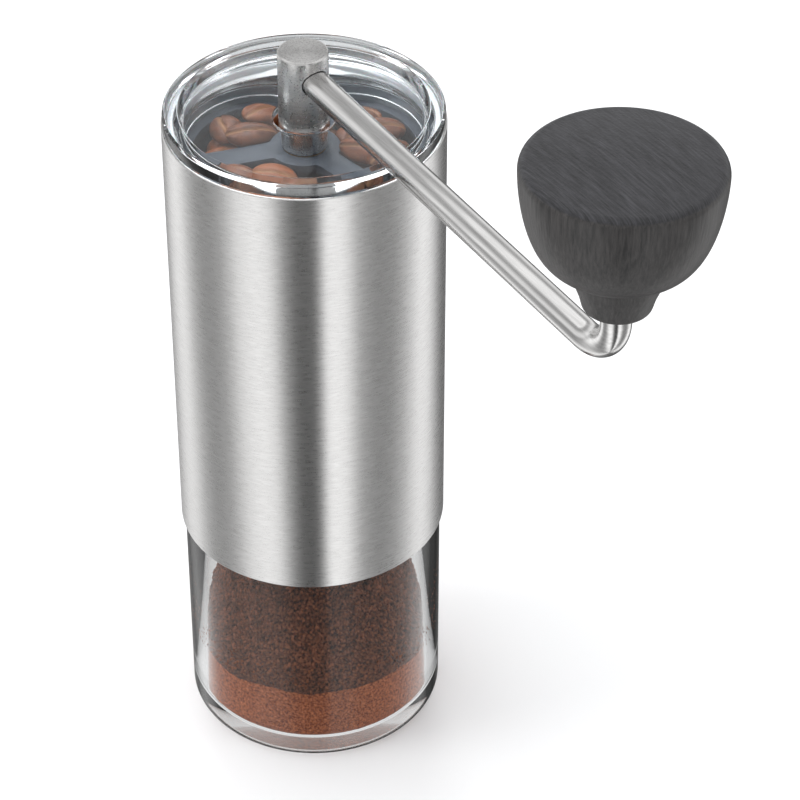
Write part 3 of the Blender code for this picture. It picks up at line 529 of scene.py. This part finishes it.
def makeJar(v):  # thick foot, a shallow hollow under it and a rounded lip
    low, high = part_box("glass_jar")
    outer, inner = high.x, high.x - v["wall"]
    lipRound = v["wall"] / 2
    outside = [(outer - lipRound + lipRound * cos(a), high.z - lipRound + lipRound * sin(a))
               for a in reversed(halfTurn)]
    outside += [(outer - v["footRound"] * (1 - cos(a)), low.z + v["footRound"] * (1 - sin(a)))
                for a in quarterTurn]
    outside += [(v["footRing"], low.z), (v["puntRadius"], low.z + v["punt"]), (0.0, low.z + v["punt"])]
    inside = [(0.0, v["floor"])]
    inside += [(inner - v["innerRound"] * (1 - sin(a)), v["floor"] + v["innerRound"] * (1 - cos(a)))
               for a in quarterTurn]
    piece = meshObject("glassJar", turnRound(outside + inside, v["sides"]))
    smooth(piece, 50)
    stand(piece, "glass_jar")
    print("jar made")


bridgeValues = {"sides": 192, "thick": 3.0 * mm, "bossRadius": 7.0 * mm, "bore": 4.86 * mm, "ledge": 1.2 * mm,
                "ledgeBore": 3.36 * mm, "rim": 2.4 * mm, "arm": 6.0 * mm, "firstArm": 10.0, "step": 0.8 * mm,
                "corner": 1.8 * mm, "edge": 0.35 * mm}
lowerBridgeValues = {"sides": 192, "thick": 3.0 * mm, "bossRadius": 6.4 * mm, "bossDrop": 3.0 * mm,
                     "bore": 4.86 * mm, "rim": 5.9 * mm, "arm": 4.0 * mm, "firstArm": 70.0, "step": 0.8 * mm,
                     "corner": 1.2 * mm, "edge": 0.25 * mm}


def windowOutline(inner, outer, arm, middle, corner):
    points = []
    steps = 28
    for radius, way in ((outer, 1), (inner, -1)):
        half = pi / 3 - asin(arm / 2 / radius)
        for step in range(steps + 1):
            angle = middle + way * half * (2 * step / steps - 1)
            points.append((radius * cos(angle), radius * sin(angle)))
    starts, ends = (0, steps + 1), (steps, 2 * steps + 1)
    soft = []
    for number, point in enumerate(points):
        if number not in starts + ends:
            soft.append(point)
            continue
        here = Vector(point)
        side = Vector(points[number - 1 if number in starts else (number + 1) % len(points)]) - here
        run = Vector(points[number + 1 if number in starts else number - 1]) - here
        one, two = here + side.normalized() * corner, here + run.normalized() * min(corner, 0.9 * run.length)
        bend = [one * (1 - s) ** 2 + here * 2 * s * (1 - s) + two * s ** 2 for s in (k / 6 for k in range(7))]
        soft += [tuple(p) for p in (bend if number in starts else reversed(bend))]
    return soft


def cutWindows(piece, v, outer, low, high):
    for number in range(3):
        middle = radians(v["firstArm"] + 60 + 120 * number)
        outline = windowOutline(v["bossRadius"] + v["step"], outer, v["arm"], middle, v["corner"])
        cutOut(piece, meshObject("windowCutter", upright(outline, low, high)))
    soften(piece, v["edge"], 50)
    smooth(piece, 30)


def makeBridges():
    v = bridgeValues
    low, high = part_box("bearing_bridge")
    plate = high.z - v["thick"]
    outline = [(high.x, high.z), (high.x, plate), (v["bossRadius"], plate), (v["bossRadius"], low.z),
               (v["ledgeBore"], low.z), (v["ledgeBore"], low.z + v["ledge"]), (v["bore"], low.z + v["ledge"]),
               (v["bore"], high.z)]
    piece = meshObject("bearingBridge", turnRound(outline, v["sides"]))
    cutWindows(piece, v, high.x - v["rim"], plate - mm, high.z + mm)
    stand(piece, "bearing_bridge")
    v = lowerBridgeValues
    low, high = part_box("lower_bridge")
    under = low.z + v["bossDrop"]
    over = under + v["thick"]
    outline = [(high.x, over), (high.x, under), (v["bossRadius"], under), (v["bossRadius"], low.z),
               (v["bore"], low.z), (v["bore"], high.z), (v["bossRadius"], high.z), (v["bossRadius"], over)]
    piece = meshObject("lowerBridge", turnRound(outline, v["sides"]))
    cutWindows(piece, v, high.x - v["rim"], under - mm, over + mm)
    stand(piece, "lower_bridge")
    print("bridges made")


hubShape = {"sides": 144, "edge": 0.45 * mm, "flats": 5.3 * mm, "socketDepth": 12.2 * mm, "armGap": 0.1 * mm,
            "armHoleStart": 0.7 * mm, "mouth": 3.18 * mm}
armShape = {"belowHubTop": 4.8 * mm, "slope": 4.0, "start": 1.0 * mm, "bend": 8.0 * mm, "sides": 64,
            "bendSteps": 40, "endEdge": 0.2 * mm}


def hexagon(flats, limit=1.0):  # radius of a hexagon in each direction, cut to a round bar
    def radius(angle):
        return min(flats / 2 / cos((angle + pi / 6) % (pi / 3) - pi / 6), limit)
    return radius


def armRoute():  # hub end, corner and top of the knob's pin
    v = armShape
    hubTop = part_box("crank_hub")[1].z
    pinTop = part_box("crank_arm")[1].z
    knobX = (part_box("knob")[0].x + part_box("knob")[1].x) / 2
    fall = tan(radians(v["slope"]))
    axisHeight = hubTop - v["belowHubTop"]
    return [(v["start"], 0.0, axisHeight - v["start"] * fall), (knobX, 0.0, axisHeight - knobX * fall),
            (knobX, 0.0, pinTop)]


def makeHub(v):
    low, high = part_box("crank_hub")
    socket = low.z + v["socketDepth"]
    flats = hexagon(v["flats"])
    outside = eased([(0.0, high.z), (high.x, high.z), (high.x, low.z), (v["mouth"], low.z)], v["edge"],
                    closed=False)
    levels = 10
    sideTop, sideLow = high.z - v["edge"], low.z + v["edge"]
    at = next(n for n, point in enumerate(outside) if abs(point[1] - sideTop) < 1e-7) + 1
    outside[at:at] = [(high.x, sideTop + (sideLow - sideTop) * n / levels) for n in range(1, levels)]
    socketWall = -1.0  # a radius that stands for the hexagon's
    marked = outside[:-1] + [(socketWall, low.z), (socketWall, socket), (0.0, socket)]

    def wave(radius, height, angle):
        return (flats(angle) if radius < 0 else radius), height
    work = turnRound(marked, v["sides"], wave=wave)
    piece = meshObject("crankHub", work)
    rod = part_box("crank_arm")[1].y + v["armGap"]
    hole, out = v["armHoleStart"], 3 * high.x
    bore = turnRound([(0.0, hole), (rod, hole), (rod, out), (0.0, out)], 96)
    start, corner = (Vector(point) for point in armRoute()[:2])
    turn = (corner - start).to_track_quat("Z", "Y").to_matrix().to_4x4()
    origin = Vector((0.0, 0.0, start.z + (corner - start).normalized().z * -start.x))
    bore.transform(Matrix.Translation(origin) @ turn)
    cutOut(piece, meshObject("armBore", bore))
    smooth(piece, 28)
    stand(piece, "crank_hub")


def makeArm(v):  # a rod that follows the bent route
    tree, given, exit = newGrowth("bentRod", **{"Rod Radius": ("Float", mm), "Bend Radius": ("Float", mm),
            "Bend Steps": ("Int", 8), "Rod Sides": ("Int", 12)})
    bent = put(tree, "GeometryNodeFilletCurve", {"Curve": given["Geometry"],
            "Radius": given["Bend Radius"]})
    bent.mode = "POLY"
    tree.links.new(given["Bend Steps"], bent.inputs["Count"])
    ring = put(tree, "GeometryNodeCurvePrimitiveCircle", {"Radius": given["Rod Radius"],
            "Resolution": given["Rod Sides"]})
    rod = put(tree, "GeometryNodeCurveToMesh", {"Curve": bent.outputs[0], "Profile Curve": ring.outputs[0],
            "Fill Caps": True})
    endGrowth(tree, exit, rod.outputs[0], rodSteel)
    curve = bpy.data.curves.new("rodRoute", "CURVE")
    curve.dimensions = "3D"
    spline = curve.splines.new("POLY")
    route = armRoute()
    spline.points.add(len(route) - 1)
    for point, place in zip(spline.points, route):
        point.co = (*place, 1.0)
    source = placed("rodRoute", curve)
    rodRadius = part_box("crank_arm")[1].y
    piece = grow("crankArm", source, tree, **{"Rod Radius": rodRadius, "Bend Radius": v["bend"],
            "Bend Steps": v["bendSteps"], "Rod Sides": v["sides"]})
    soften(piece, v["endEdge"], 60)
    smooth(piece, 40)
    stand(piece, "crank_arm", finish=rodSteel)
    print("crank made")


knobShape = {"sides": 256, "edge": 1.7 * mm, "crown": 1.2 * mm, "neck": 8.7 * mm, "neckHeight": 9.4 * mm,
             "bore": 4.76 * mm, "boreDepth": 23.2 * mm, "bowlPower": 0.75, "bowlLift": 1.15, "steps": 30,
             "crownFall": 0.8, "foot": ((0.92, 0.62), (0.78, 0.28), (0.7, 0.0)), "footRound": 1.3 * mm,
             "ringEdge": 0.12 * mm}


def makeKnob(v):  # turned bowl with a small neck and a low crown
    low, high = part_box("knob")
    axisX, radius = (low.x + high.x) / 2, (high.x - low.x) / 2
    shoulder = high.z - v["crown"] - v["edge"]
    neckTop = low.z + v["neckHeight"]
    crownFrom = radius - v["edge"]
    outline = [(crownFrom * n / 12, high.z - v["crown"] * (n / 12) ** 2 * v["crownFall"]) for n in range(13)]
    start = high.z - v["crown"] * v["crownFall"] - shoulder
    outline += [(crownFrom + v["edge"] * sin(a), shoulder + start * cos(a))
                for a in (pi / 2 * n / 14 for n in range(1, 15))]
    for n in range(1, v["steps"] + 1):
        a = pi / 2 * n / v["steps"]
        reach = v["neck"] + (radius - v["neck"]) * max(cos(a), 0.0) ** v["bowlPower"]
        outline.append((reach, shoulder - (shoulder - neckTop) * sin(a) ** v["bowlLift"]))
    foot = [(share * v["neck"], low.z + lift * v["neckHeight"]) for share, lift in v["foot"]]
    foot = eased([(v["neck"], neckTop), *foot, (v["bore"], low.z)], v["footRound"], 8, closed=False)
    outline += foot[1:] + [(v["bore"], low.z + v["boreDepth"]), (0.0, low.z + v["boreDepth"])]
    piece = meshObject("woodenKnob", turnRound(outline, v["sides"], axisX))
    smooth(piece, 55)
    stand(piece, "knob")
    for node, name in (("knob_bush", "knobBush"), ("knob_clip", "knobClip")):
        ring = meshObject(name, turnRound(eased(profileOf(node, axisX), v["ringEdge"]), 96, axisX))
        smooth(ring)
        stand(ring, node)
    print("knob made")


nutShape = {"ribs": 18, "ribRadius": 0.62 * mm, "core": 10.95 * mm, "chamfer": 0.7 * mm, "bore": 2.65 * mm,
            "recess": 0.8 * mm, "recessShares": (0.62, 0.56), "hubWalls": (1.6 * mm, 1.4 * mm),
            "edge": 0.2 * mm, "ribEdge": 0.3 * mm}


def ringGrowth():  # copies one item round the Z axis and joins the core
    tree, given, exit = newGrowth("ringOfItems", **{"Item": ("Object", None), "Count": ("Int", 3),
            "Circle Radius": ("Float", 10 * mm),
            "First Angle": ("Float", 0.0),
            "Finish": ("Material", None)})
    ring = put(tree, "GeometryNodeMeshCircle", {"Vertices": given["Count"],
            "Radius": given["Circle Radius"]})
    start = put(tree, "ShaderNodeCombineXYZ", {2: given["First Angle"]})
    turned = put(tree, "GeometryNodeTransform", {"Geometry": ring.outputs[0], "Rotation": start.outputs[0]})
    place = put(tree, "GeometryNodeInputPosition")
    axes = put(tree, "ShaderNodeSeparateXYZ", {0: place.outputs[0]})
    angle = maths(tree, "ARCTAN2", axes.outputs[1], axes.outputs[0])
    facing = put(tree, "ShaderNodeCombineXYZ", {2: angle})
    item = put(tree, "GeometryNodeObjectInfo", {"Object": given["Item"]})
    copies = put(tree, "GeometryNodeInstanceOnPoints", {"Points": turned.outputs[0],
            "Instance": item.outputs["Geometry"],
            "Rotation": facing.outputs[0]})
    joined = joinParts(tree, copies.outputs[0], given["Geometry"])
    endGrowth(tree, exit, joined, given["Finish"])
    return tree


def makeNut(v, tree):  # round core with rounded grip ribs
    low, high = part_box("adjuster_nut")
    face = v["core"] - v["chamfer"]
    ribHigh, ribLow = high.z - v["chamfer"], low.z + v["chamfer"]
    recess = low.z + v["recess"]
    outer, inner = (face * share for share in v["recessShares"])
    foot, collar = (v["bore"] + wall for wall in v["hubWalls"])
    outline = [(face, high.z), (v["core"], ribHigh), (v["core"], ribLow), (face, low.z), (outer, low.z),
               (inner, recess), (foot, recess), (collar, low.z), (v["bore"], low.z), (v["bore"], high.z)]
    core = meshObject("nutCore", turnRound(eased(outline, v["edge"]), 144))
    grip = [(0.0, ribHigh), (v["ribRadius"], ribHigh), (v["ribRadius"], ribLow), (0.0, ribLow)]
    rib = meshObject("gripRib", turnRound(eased(grip, v["ribEdge"], closed=False), 16))
    reach = high.x - v["ribRadius"]
    piece = grow("adjusterNut", core, tree, **{"Item": rib, "Count": v["ribs"], "Circle Radius": reach,
            "Finish": finishes["nut_plastic"]})
    bpy.data.objects.remove(rib)
    smooth(piece, 40)
    stand(piece, "adjuster_nut")


screwShape = {"circle": 20.4 * mm, "first": 25.0, "head": 1.7 * mm, "shank": 0.9 * mm, "slot": 0.8 * mm,
              "slotDepth": 0.45 * mm, "headThick": 1.0 * mm, "edge": 0.18 * mm}


def makeScrews(v, tree):  # three slotted screws that hold the clamp ring
    low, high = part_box("clamp_screw_1")
    shoulder = low.z + v["headThick"]
    outline = [(0.0, high.z), (v["shank"], high.z), (v["shank"], shoulder), (v["head"], shoulder),
               (v["head"], low.z), (0.0, low.z)]
    screw = meshObject("slottedScrew", turnRound(eased(outline, v["edge"], closed=False), 48))
    half, reach = v["slot"] / 2, 2 * v["head"]
    slot = [(-reach, -half), (reach, -half), (reach, half), (-reach, half)]
    cutOut(screw, meshObject("slotCutter", upright(slot, low.z - mm, low.z + v["slotDepth"])))
    empty = meshObject("screwRing", bmesh.new())
    piece = grow("clampScrews", empty, tree, **{"Item": screw, "Count": 3, "Circle Radius": v["circle"],
            "First Angle": radians(v["first"]),
            "Finish": finishes["fastener_steel"]})
    bpy.data.objects.remove(screw)
    smooth(piece, 30)
    stand(piece, "clamp_screw_1", "clamp_screw_2", "clamp_screw_3")


innerNodes = {  # node: (piece, softened edge); merged copies with soft edges
    "drive_shaft": ("driveShaft", 0.12 * mm),
    "shaft_circlip": ("shaftCirclip", 0.1 * mm),
    "burr_carrier": ("burrCarrier", 0.15 * mm),
    "burr_clamp_ring": ("clampRing", 0.12 * mm),
    "burr_driver": ("burrDriver", 0.15 * mm),
    "detent_plate": ("detentPlate", 0.12 * mm),
    "outer_burr": ("ringBurr", 0.12 * mm),
    "inner_burr": ("coneBurr", 0.12 * mm),
}


def makeInnerNodes():
    for node, (name, edge) in innerNodes.items():
        piece = meshObject(name, merged(node))
        soften(piece, edge, 35)
        smooth(piece, 36)
        stand(piece, node)
    print("inner pieces made:", len(innerNodes))


beanShape = {"length": 10.6 * mm, "width": 7.6 * mm, "flat": 2.3 * mm, "belly": 3.5 * mm, "crease": 0.9 * mm,
             "creaseWidth": 0.075, "creaseSway": 0.11, "swayPace": 2.2, "swayStart": 0.4, "creaseFade": 0.6,
             "chaff": 1.2, "slices": 14}
hopperShape = {"seed": 11, "layers": 5, "layerPitch": 6.3 * mm, "firstLayer": 132.2 * mm,
               "rings": ((6, 11.7 * mm), (10, 19.6 * mm))}
# the beans that show in the bridge's windows: radius, bearing, height (mm), heading and tilt (degrees)
topBeans = (
    (16.6, 182, 139.6, 100, 8), (18.6, 213, 138.6, 158, -14), (12.6, 216, 138.8, 60, 16),
    (17.6, 160, 136.8, 30, 12), (18.4, 236, 134.6, 100, 0), (17.6, 104, 138.9, 20, -8),
    (17.0, 76, 139.4, 52, 14), (12.2, 88, 136.2, 120, 6), (17.4, 46, 139.0, 100, -10),
    (12.4, 50, 138.2, 40, 18), (17.9, 30, 134.4, 80, 6), (13.4, 300, 138.8, 38, 10),
    (16.8, 276, 138.2, 20, -12), (17.4, 322, 138.8, 80, 8), (18.4, 346, 135.4, 60, 0),
)


def makeBean(v):  # one roasted bean: round belly, flatter face and a wavy crease along it
    spokes = [0, 24, 46, 62, 73, 80, 85, 90, 95, 100, 107, 118, 134, 156, 180, 208, 236, 270, 304, 332]
    work = bmesh.new()
    layer = work.verts.layers.float.new("crease")
    rings = []
    for slice in range(v["slices"] + 1):
        along = pi * slice / v["slices"]
        ends = slice in (0, v["slices"])
        ring = []
        for spoke in spokes[:1] if ends else spokes:
            a = radians(spoke)
            x, side, up = -cos(along), sin(along) * cos(a), sin(along) * sin(a)
            sway = v["creaseSway"] * sin(v["swayPace"] * x + v["swayStart"])
            deep = max(0.0, 1 - ((side - sway) / v["creaseWidth"] / 2) ** 2) * sin(along) ** v["creaseFade"]
            deep = deep if up > 0 else 0.0
            z = up * (v["flat"] if up > 0 else v["belly"]) - deep * v["crease"]
            point = work.verts.new((x * v["length"] / 2, side * v["width"] / 2, z))
            point[layer] = min(1.0, deep * v["chaff"])
            ring.append(point)
        rings.append(ring)
    joinRings(work, zip(rings, rings[1:]), len(spokes))
    bean = meshObject("roastedBean", work)
    smooth(bean, 70)
    return bean


def makeHopperBeans(v):  # beans laid in rings down the hopper, with loose ones on top
    tree, given, exit = newGrowth("beanPile", **{"Bean": ("Object", None), "Finish": ("Material", None),
            "Smallest": ("Float", 0.9), "Largest": ("Float", 1.0),
            "Seed": ("Int", 0)})
    turn = put(tree, "GeometryNodeInputNamedAttribute", {"Name": "turn"}, data_type="FLOAT_VECTOR")
    facing = put(tree, "FunctionNodeEulerToRotation", {0: turn.outputs[0]})
    size = put(tree, "FunctionNodeRandomValue", {2: given["Smallest"], 3: given["Largest"],
            "Seed": given["Seed"]}, data_type="FLOAT")
    item = put(tree, "GeometryNodeObjectInfo", {"Object": given["Bean"]})
    pile = put(tree, "GeometryNodeInstanceOnPoints", {"Points": given["Geometry"],
            "Instance": item.outputs["Geometry"],
            "Rotation": facing.outputs[0],
            "Scale": size.outputs[1]})
    endGrowth(tree, exit, pile.outputs[0], given["Finish"])
    draw = random.Random(v["seed"])
    spots = []
    for radius, bearing, height, heading, tilt in topBeans:
        spots.append((radius * mm, radians(bearing), height * mm, radians(heading), radians(tilt)))
    for layer in range(v["layers"]):
        for count, radius in v["rings"]:
            for number in range(count):
                bearing = 2 * pi * (number + 0.5 * (layer % 2)) / count + 0.3 * layer
                height = v["firstLayer"] - layer * v["layerPitch"] + draw.uniform(-0.4, 0.4) * mm
                heading = bearing + pi / 2 + draw.uniform(-0.25, 0.25)
                spots.append((radius, bearing, height, heading, draw.uniform(-0.2, 0.2)))
    points = bpy.data.meshes.new("beanSpots")
    points.from_pydata([(r * cos(b), r * sin(b), h) for r, b, h, _, _ in spots], [], [])
    points.attributes.new("turn", "FLOAT_VECTOR", "POINT")
    points.attributes.new("tone", "FLOAT", "POINT")
    turns, shades = points.attributes["turn"], points.attributes["tone"]
    for number, spot in enumerate(spots):
        flip = pi if number >= len(topBeans) and draw.random() < 0.5 else 0.0
        turns.data[number].vector = (flip + spot[4], draw.uniform(-0.15, 0.15), spot[3])
        shades.data[number].value = draw.random()
    source = placed("beanSpots", points)
    bean = makeBean(beanShape)
    piece = grow("hopperBeans", source, tree, **{"Bean": bean, "Finish": roastedBean("beanHusk"),
            "Smallest": 0.88, "Largest": 1.0, "Seed": v["seed"]})
    bpy.data.objects.remove(bean)
    smooth(piece, 70)
    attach(piece, "housing")
    print("beans laid:", len(spots))


groundsShape = {"radius": 24.75 * mm, "glassInside": 24.95 * mm, "floor": 3.75 * mm, "footRound": 2.5 * mm,
                "seam": 17.6 * mm, "seamGap": 0.1 * mm, "shoulder": 24.5 * mm, "dome": 20.0 * mm,
                "domePower": 2.6, "sides": 192, "rings": 56, "chips": 5200, "chipSize": 0.42 * mm,
                "chipsAbove": 1.2 * mm, "chipSpread": 2.2, "seed": 7}


def seamAt(angle):  # height of the line between fine and coarse coffee
    place = Vector((2.2 * cos(angle), 2.2 * sin(angle), 0.0))
    return groundsShape["seam"] + 1.0 * mm * noise.noise(place) + 0.25 * mm * noise.noise(place * 7)


def roughen(work, size, depth, keepBelow=0.0):
    for vert in work.verts:
        push = noise.noise_vector(vert.co * size) * depth
        if vert.co.z > keepBelow:
            vert.co += push
        reach = hypot(vert.co.x, vert.co.y)
        if reach > groundsShape["radius"]:
            vert.co.xy *= groundsShape["radius"] / reach


def makeGrounds(v):
    rim = v["radius"]
    foot = [(rim - v["footRound"] * (1 - sin(a)), v["floor"] + v["footRound"] * (1 - cos(a)))
            for a in quarterTurn]
    side = [(rim, v["floor"] + v["footRound"] + (v["seam"] - v["floor"] - v["footRound"]) * n / 16)
            for n in range(1, 17)]
    flat = [(rim * (1 - n / 12), v["seam"]) for n in range(1, 13)]

    def fineWave(radius, height, angle):
        lift = (height - v["floor"]) / (v["seam"] - v["floor"])
        return radius, height + (seamAt(angle) - v["seam"]) * lift * radius / rim
    work = turnRound([(0.0, v["floor"])] + foot + side + flat, v["sides"], wave=fineWave)
    roughen(work, 900.0, 0.12 * mm, v["floor"] + mm)
    fine = meshObject("fineGrounds", work)
    smooth(fine, 80)
    finish = groundCoffee("fineCoffee", (0.10, 0.018, 0.005), (0.62, 0.20, 0.080), 1900.0, 0.2 * mm)
    fine.data.materials.append(finish)
    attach(fine, "jar")

    def coarseWave(radius, height, angle):
        if height > v["seam"] + 0.2 * mm:
            return radius, height
        return radius, height + (seamAt(angle) - v["seam"]) * radius / rim
    lowest = v["seam"] + v["seamGap"]
    base = [(rim * n / 12, lowest) for n in range(13)]
    wall = [(rim, lowest + (v["shoulder"] - v["seam"]) * n / 6) for n in range(1, 7)]
    dome = []
    for n in range(1, v["rings"] + 1):
        share = 1 - n / v["rings"]
        dome.append((rim * share, v["shoulder"] + v["dome"] * (1 - share ** v["domePower"])))
    work = turnRound(base + wall + dome, v["sides"], wave=coarseWave)
    roughen(work, 420.0, 0.9 * mm, v["seam"] + 1.5 * mm)
    roughen(work, 1500.0, 0.35 * mm, v["seam"] + 1.0 * mm)
    source = meshObject("coarseBody", work)
    tree, given, exit = newGrowth("looseChips", **{"Chips": ("Float", 100.0), "Lowest": ("Float", 0.0),
            "Chip Size": ("Float", 0.4 * mm), "Seed": ("Int", 0),
            "Finish": ("Material", None)})
    chip = put(tree, "GeometryNodeMeshIcoSphere", {"Radius": given["Chip Size"], "Subdivisions": 1})
    place = put(tree, "GeometryNodeInputPosition")
    axes = put(tree, "ShaderNodeSeparateXYZ", {0: place.outputs[0]})
    above = put(tree, "FunctionNodeCompare", {0: axes.outputs[2], 1: given["Lowest"]},
                data_type="FLOAT", operation="GREATER_THAN")
    area = put(tree, "GeometryNodeDistributePointsOnFaces", {"Mesh": given["Geometry"],
            "Selection": above.outputs[0],
            "Density": given["Chips"],
            "Seed": given["Seed"]})
    squeeze = put(tree, "FunctionNodeRandomValue", {0: (0.5, 0.5, 0.35), 1: (1.5, 1.1, 0.9),
            "Seed": given["Seed"]}, data_type="FLOAT_VECTOR")
    tumble = put(tree, "FunctionNodeRandomValue", {0: (0.0, 0.0, 0.0), 1: (6.28, 6.28, 6.28), "Seed": 3},
                 data_type="FLOAT_VECTOR")
    tone = put(tree, "FunctionNodeRandomValue", {"Seed": 5}, data_type="FLOAT")
    loose = put(tree, "GeometryNodeInstanceOnPoints", {"Points": area.outputs[0], "Instance": chip.outputs[0],
            "Rotation": tumble.outputs[0],
            "Scale": squeeze.outputs[0]})
    marked = put(tree, "GeometryNodeStoreNamedAttribute", {"Geometry": loose.outputs[0], "Name": "tone",
            "Value": tone.outputs[1]},
                 data_type="FLOAT", domain="INSTANCE")
    joined = joinParts(tree, marked.outputs[0], given["Geometry"])
    finish = groundCoffee("coarseCoffee", (0.008, 0.003, 0.002), (0.24, 0.085, 0.042), 1700.0, 0.25 * mm)
    endGrowth(tree, exit, joined, given["Finish"])
    surface = pi * rim ** 2 * v["chipSpread"]
    piece = grow("coarseGrounds", source, tree, **{"Chips": v["chips"] / surface, "Chip Size": v["chipSize"],
            "Lowest": v["seam"] + v["chipsAbove"], "Seed": v["seed"],
            "Finish": finish})
    for vert in piece.data.vertices:  # no chip reaches into the glass
        reach = hypot(vert.co.x, vert.co.y)
        if reach > v["glassInside"]:
            vert.co.xy *= v["glassInside"] / reach
    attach(piece, "jar")
    print("grounds heaped")


# bands: (bearing from the camera's side, brightness); heights: (0 straight down to 1 straight up, brightness)
studioShape = {"cameraBearing": -33.994,
               "bands": ((-180, 0.2), (-150, 0.35), (-133, 1.3), (-118, 1.45), (-104, 0.5), (-87, 0.3),
                         (-70, 0.55), (-54, 1.35), (-38, 1.5), (-28, 1.25), (-18, 0.4), (-8, 0.08), (7, 0.06),
                         (12, 0.45), (17, 1.55), (32, 1.5), (44, 0.6), (58, 0.32), (75, 0.3), (92, 0.7),
                         (104, 1.5), (120, 1.4), (134, 0.3), (150, 0.1), (180, 0.2)),
               "heights": ((0.40, 0.2), (0.53, 1.15), (0.63, 1.05), (0.74, 0.5), (0.82, 0.52), (0.86, 1.4),
                           (0.93, 1.2), (1.0, 0.7)),
               "air": 0.72, "backdrop": 0.97, "floor": (0.86, 0.865, 0.875)}


def makeStudio(v):
    world = bpy.data.worlds.new("studio")
    bpy.context.scene.world = world
    world.use_nodes = True
    tree = world.node_tree
    tree.nodes.clear()
    way = put(tree, "ShaderNodeTexCoord").outputs["Generated"]
    turn = (0.0, 0.0, radians(-v["cameraBearing"]))
    spun = put(tree, "ShaderNodeMapping", {"Vector": way, "Rotation": turn})
    axes = put(tree, "ShaderNodeSeparateXYZ", {0: spun.outputs[0]})
    bearing = maths(tree, "ARCTAN2", axes.outputs[1], axes.outputs[0])
    share = put(tree, "ShaderNodeMapRange", {"Value": bearing, "From Min": -pi, "From Max": pi})
    stops = [((angle + 180) / 360, (level / 2,) * 3) for angle, level in v["bands"]]
    bands = tones(tree, share.outputs[0], *stops)
    rise = put(tree, "ShaderNodeMapRange", {"Value": axes.outputs[2], "From Min": -1.0, "From Max": 1.0})
    ceiling = tones(tree, rise.outputs[0], *((place, (level / 2,) * 3) for place, level in v["heights"]))
    up = put(tree, "ShaderNodeMapRange", {"Value": axes.outputs[2], "From Min": -0.25, "From Max": 0.0})
    walls = blend(tree, up.outputs[0], bands, ceiling)
    path = put(tree, "ShaderNodeLightPath")
    outside = maths(tree, "LESS_THAN", path.outputs["Transmission Depth"], 0.5)
    bounce = maths(tree, "MULTIPLY", path.outputs["Is Glossy Ray"], outside)
    air = put(tree, "ShaderNodeMix", {0: path.outputs["Is Camera Ray"], 2: v["air"] / 2,
                                      3: v["backdrop"] / 2}, data_type="FLOAT")
    shown = blend(tree, bounce, air.outputs[0], walls)
    back = put(tree, "ShaderNodeBackground", {"Color": shown, "Strength": 2.0})
    out = put(tree, "ShaderNodeOutputWorld", {"Surface": back.outputs[0]})
    out.is_active_output = True
    world.cycles.sampling_method = "NONE"
    work = bmesh.new()
    bmesh.ops.create_grid(work, x_segments=1, y_segments=1, size=4.0)
    floor = meshObject("paleFloor", work)
    floor.location.z = -0.0001
    material, tree, shader = newFinish("floorPaint", **{"Roughness": 0.9, "Specular IOR Level": 0.0})
    shader.inputs["Base Color"].default_value = (*v["floor"], 1.0)
    floor.data.materials.append(material)
    floor.visible_glossy = False  # steel mirrors the light bands and not the bare floor
    floor.visible_transmission = False  # and the jar's edges stay pale


lampShape = {  # place (m), size (m), power (W)
    "overhead": ((-0.15, -0.10, 0.95), (0.75, 0.75), 5.2),
    "leftPanel": ((-0.35, -0.75, 0.50), (0.35, 0.8), 2.6),
    "rightPanel": ((0.62, 0.62, 0.45), (0.25, 0.8), 1.6),
    "backStrip": ((-0.75, 0.40, 0.55), (0.3, 0.7), 2.0),
}


def makeLamps():
    for name, (place, size, power) in lampShape.items():
        lamp = bpy.data.lights.new(name, "AREA")
        lamp.shape = "RECTANGLE"
        lamp.size, lamp.size_y = size
        lamp.energy = power
        holder = placed(name, lamp)
        holder.location = place
        holder.rotation_euler = (Vector((0.0, 0.0, 0.09)) - Vector(place)).to_track_quat("-Z", "Y").to_euler()
        holder.visible_glossy = False  # only the world's bands show in steel


cameraShape = {"aim": (0.01046, 0.01552, 0.07748), "distance": 0.65722, "bearing": 146.006, "fall": 38.01,
               "lens": 141.6}


def makeCamera(v):
    bearing, fall = radians(v["bearing"]), radians(v["fall"])
    ahead = Vector((cos(bearing) * cos(fall), sin(bearing) * cos(fall), -sin(fall)))
    camera = placed("viewCamera", bpy.data.cameras.new("viewCamera"))
    camera.data.lens = v["lens"]
    camera.data.clip_start = 0.01
    camera.location = Vector(v["aim"]) - ahead * v["distance"]
    camera.rotation_euler = ahead.to_track_quat("-Z", "Y").to_euler()
    bpy.context.scene.camera = camera
    bpy.context.scene.view_settings.view_transform = "Standard"


makeCamera(cameraShape)
makeStudio(studioShape)
makeLamps()
print("studio ready")
makeTurnedPieces()
makeJar(jarValues)
makeBridges()
makeHub(hubShape)
makeArm(armShape)
makeKnob(knobShape)
ringTree = ringGrowth()
makeNut(nutShape, ringTree)
makeScrews(screwShape, ringTree)
makeInnerNodes()
makeHopperBeans(hopperShape)
makeGrounds(groundsShape)
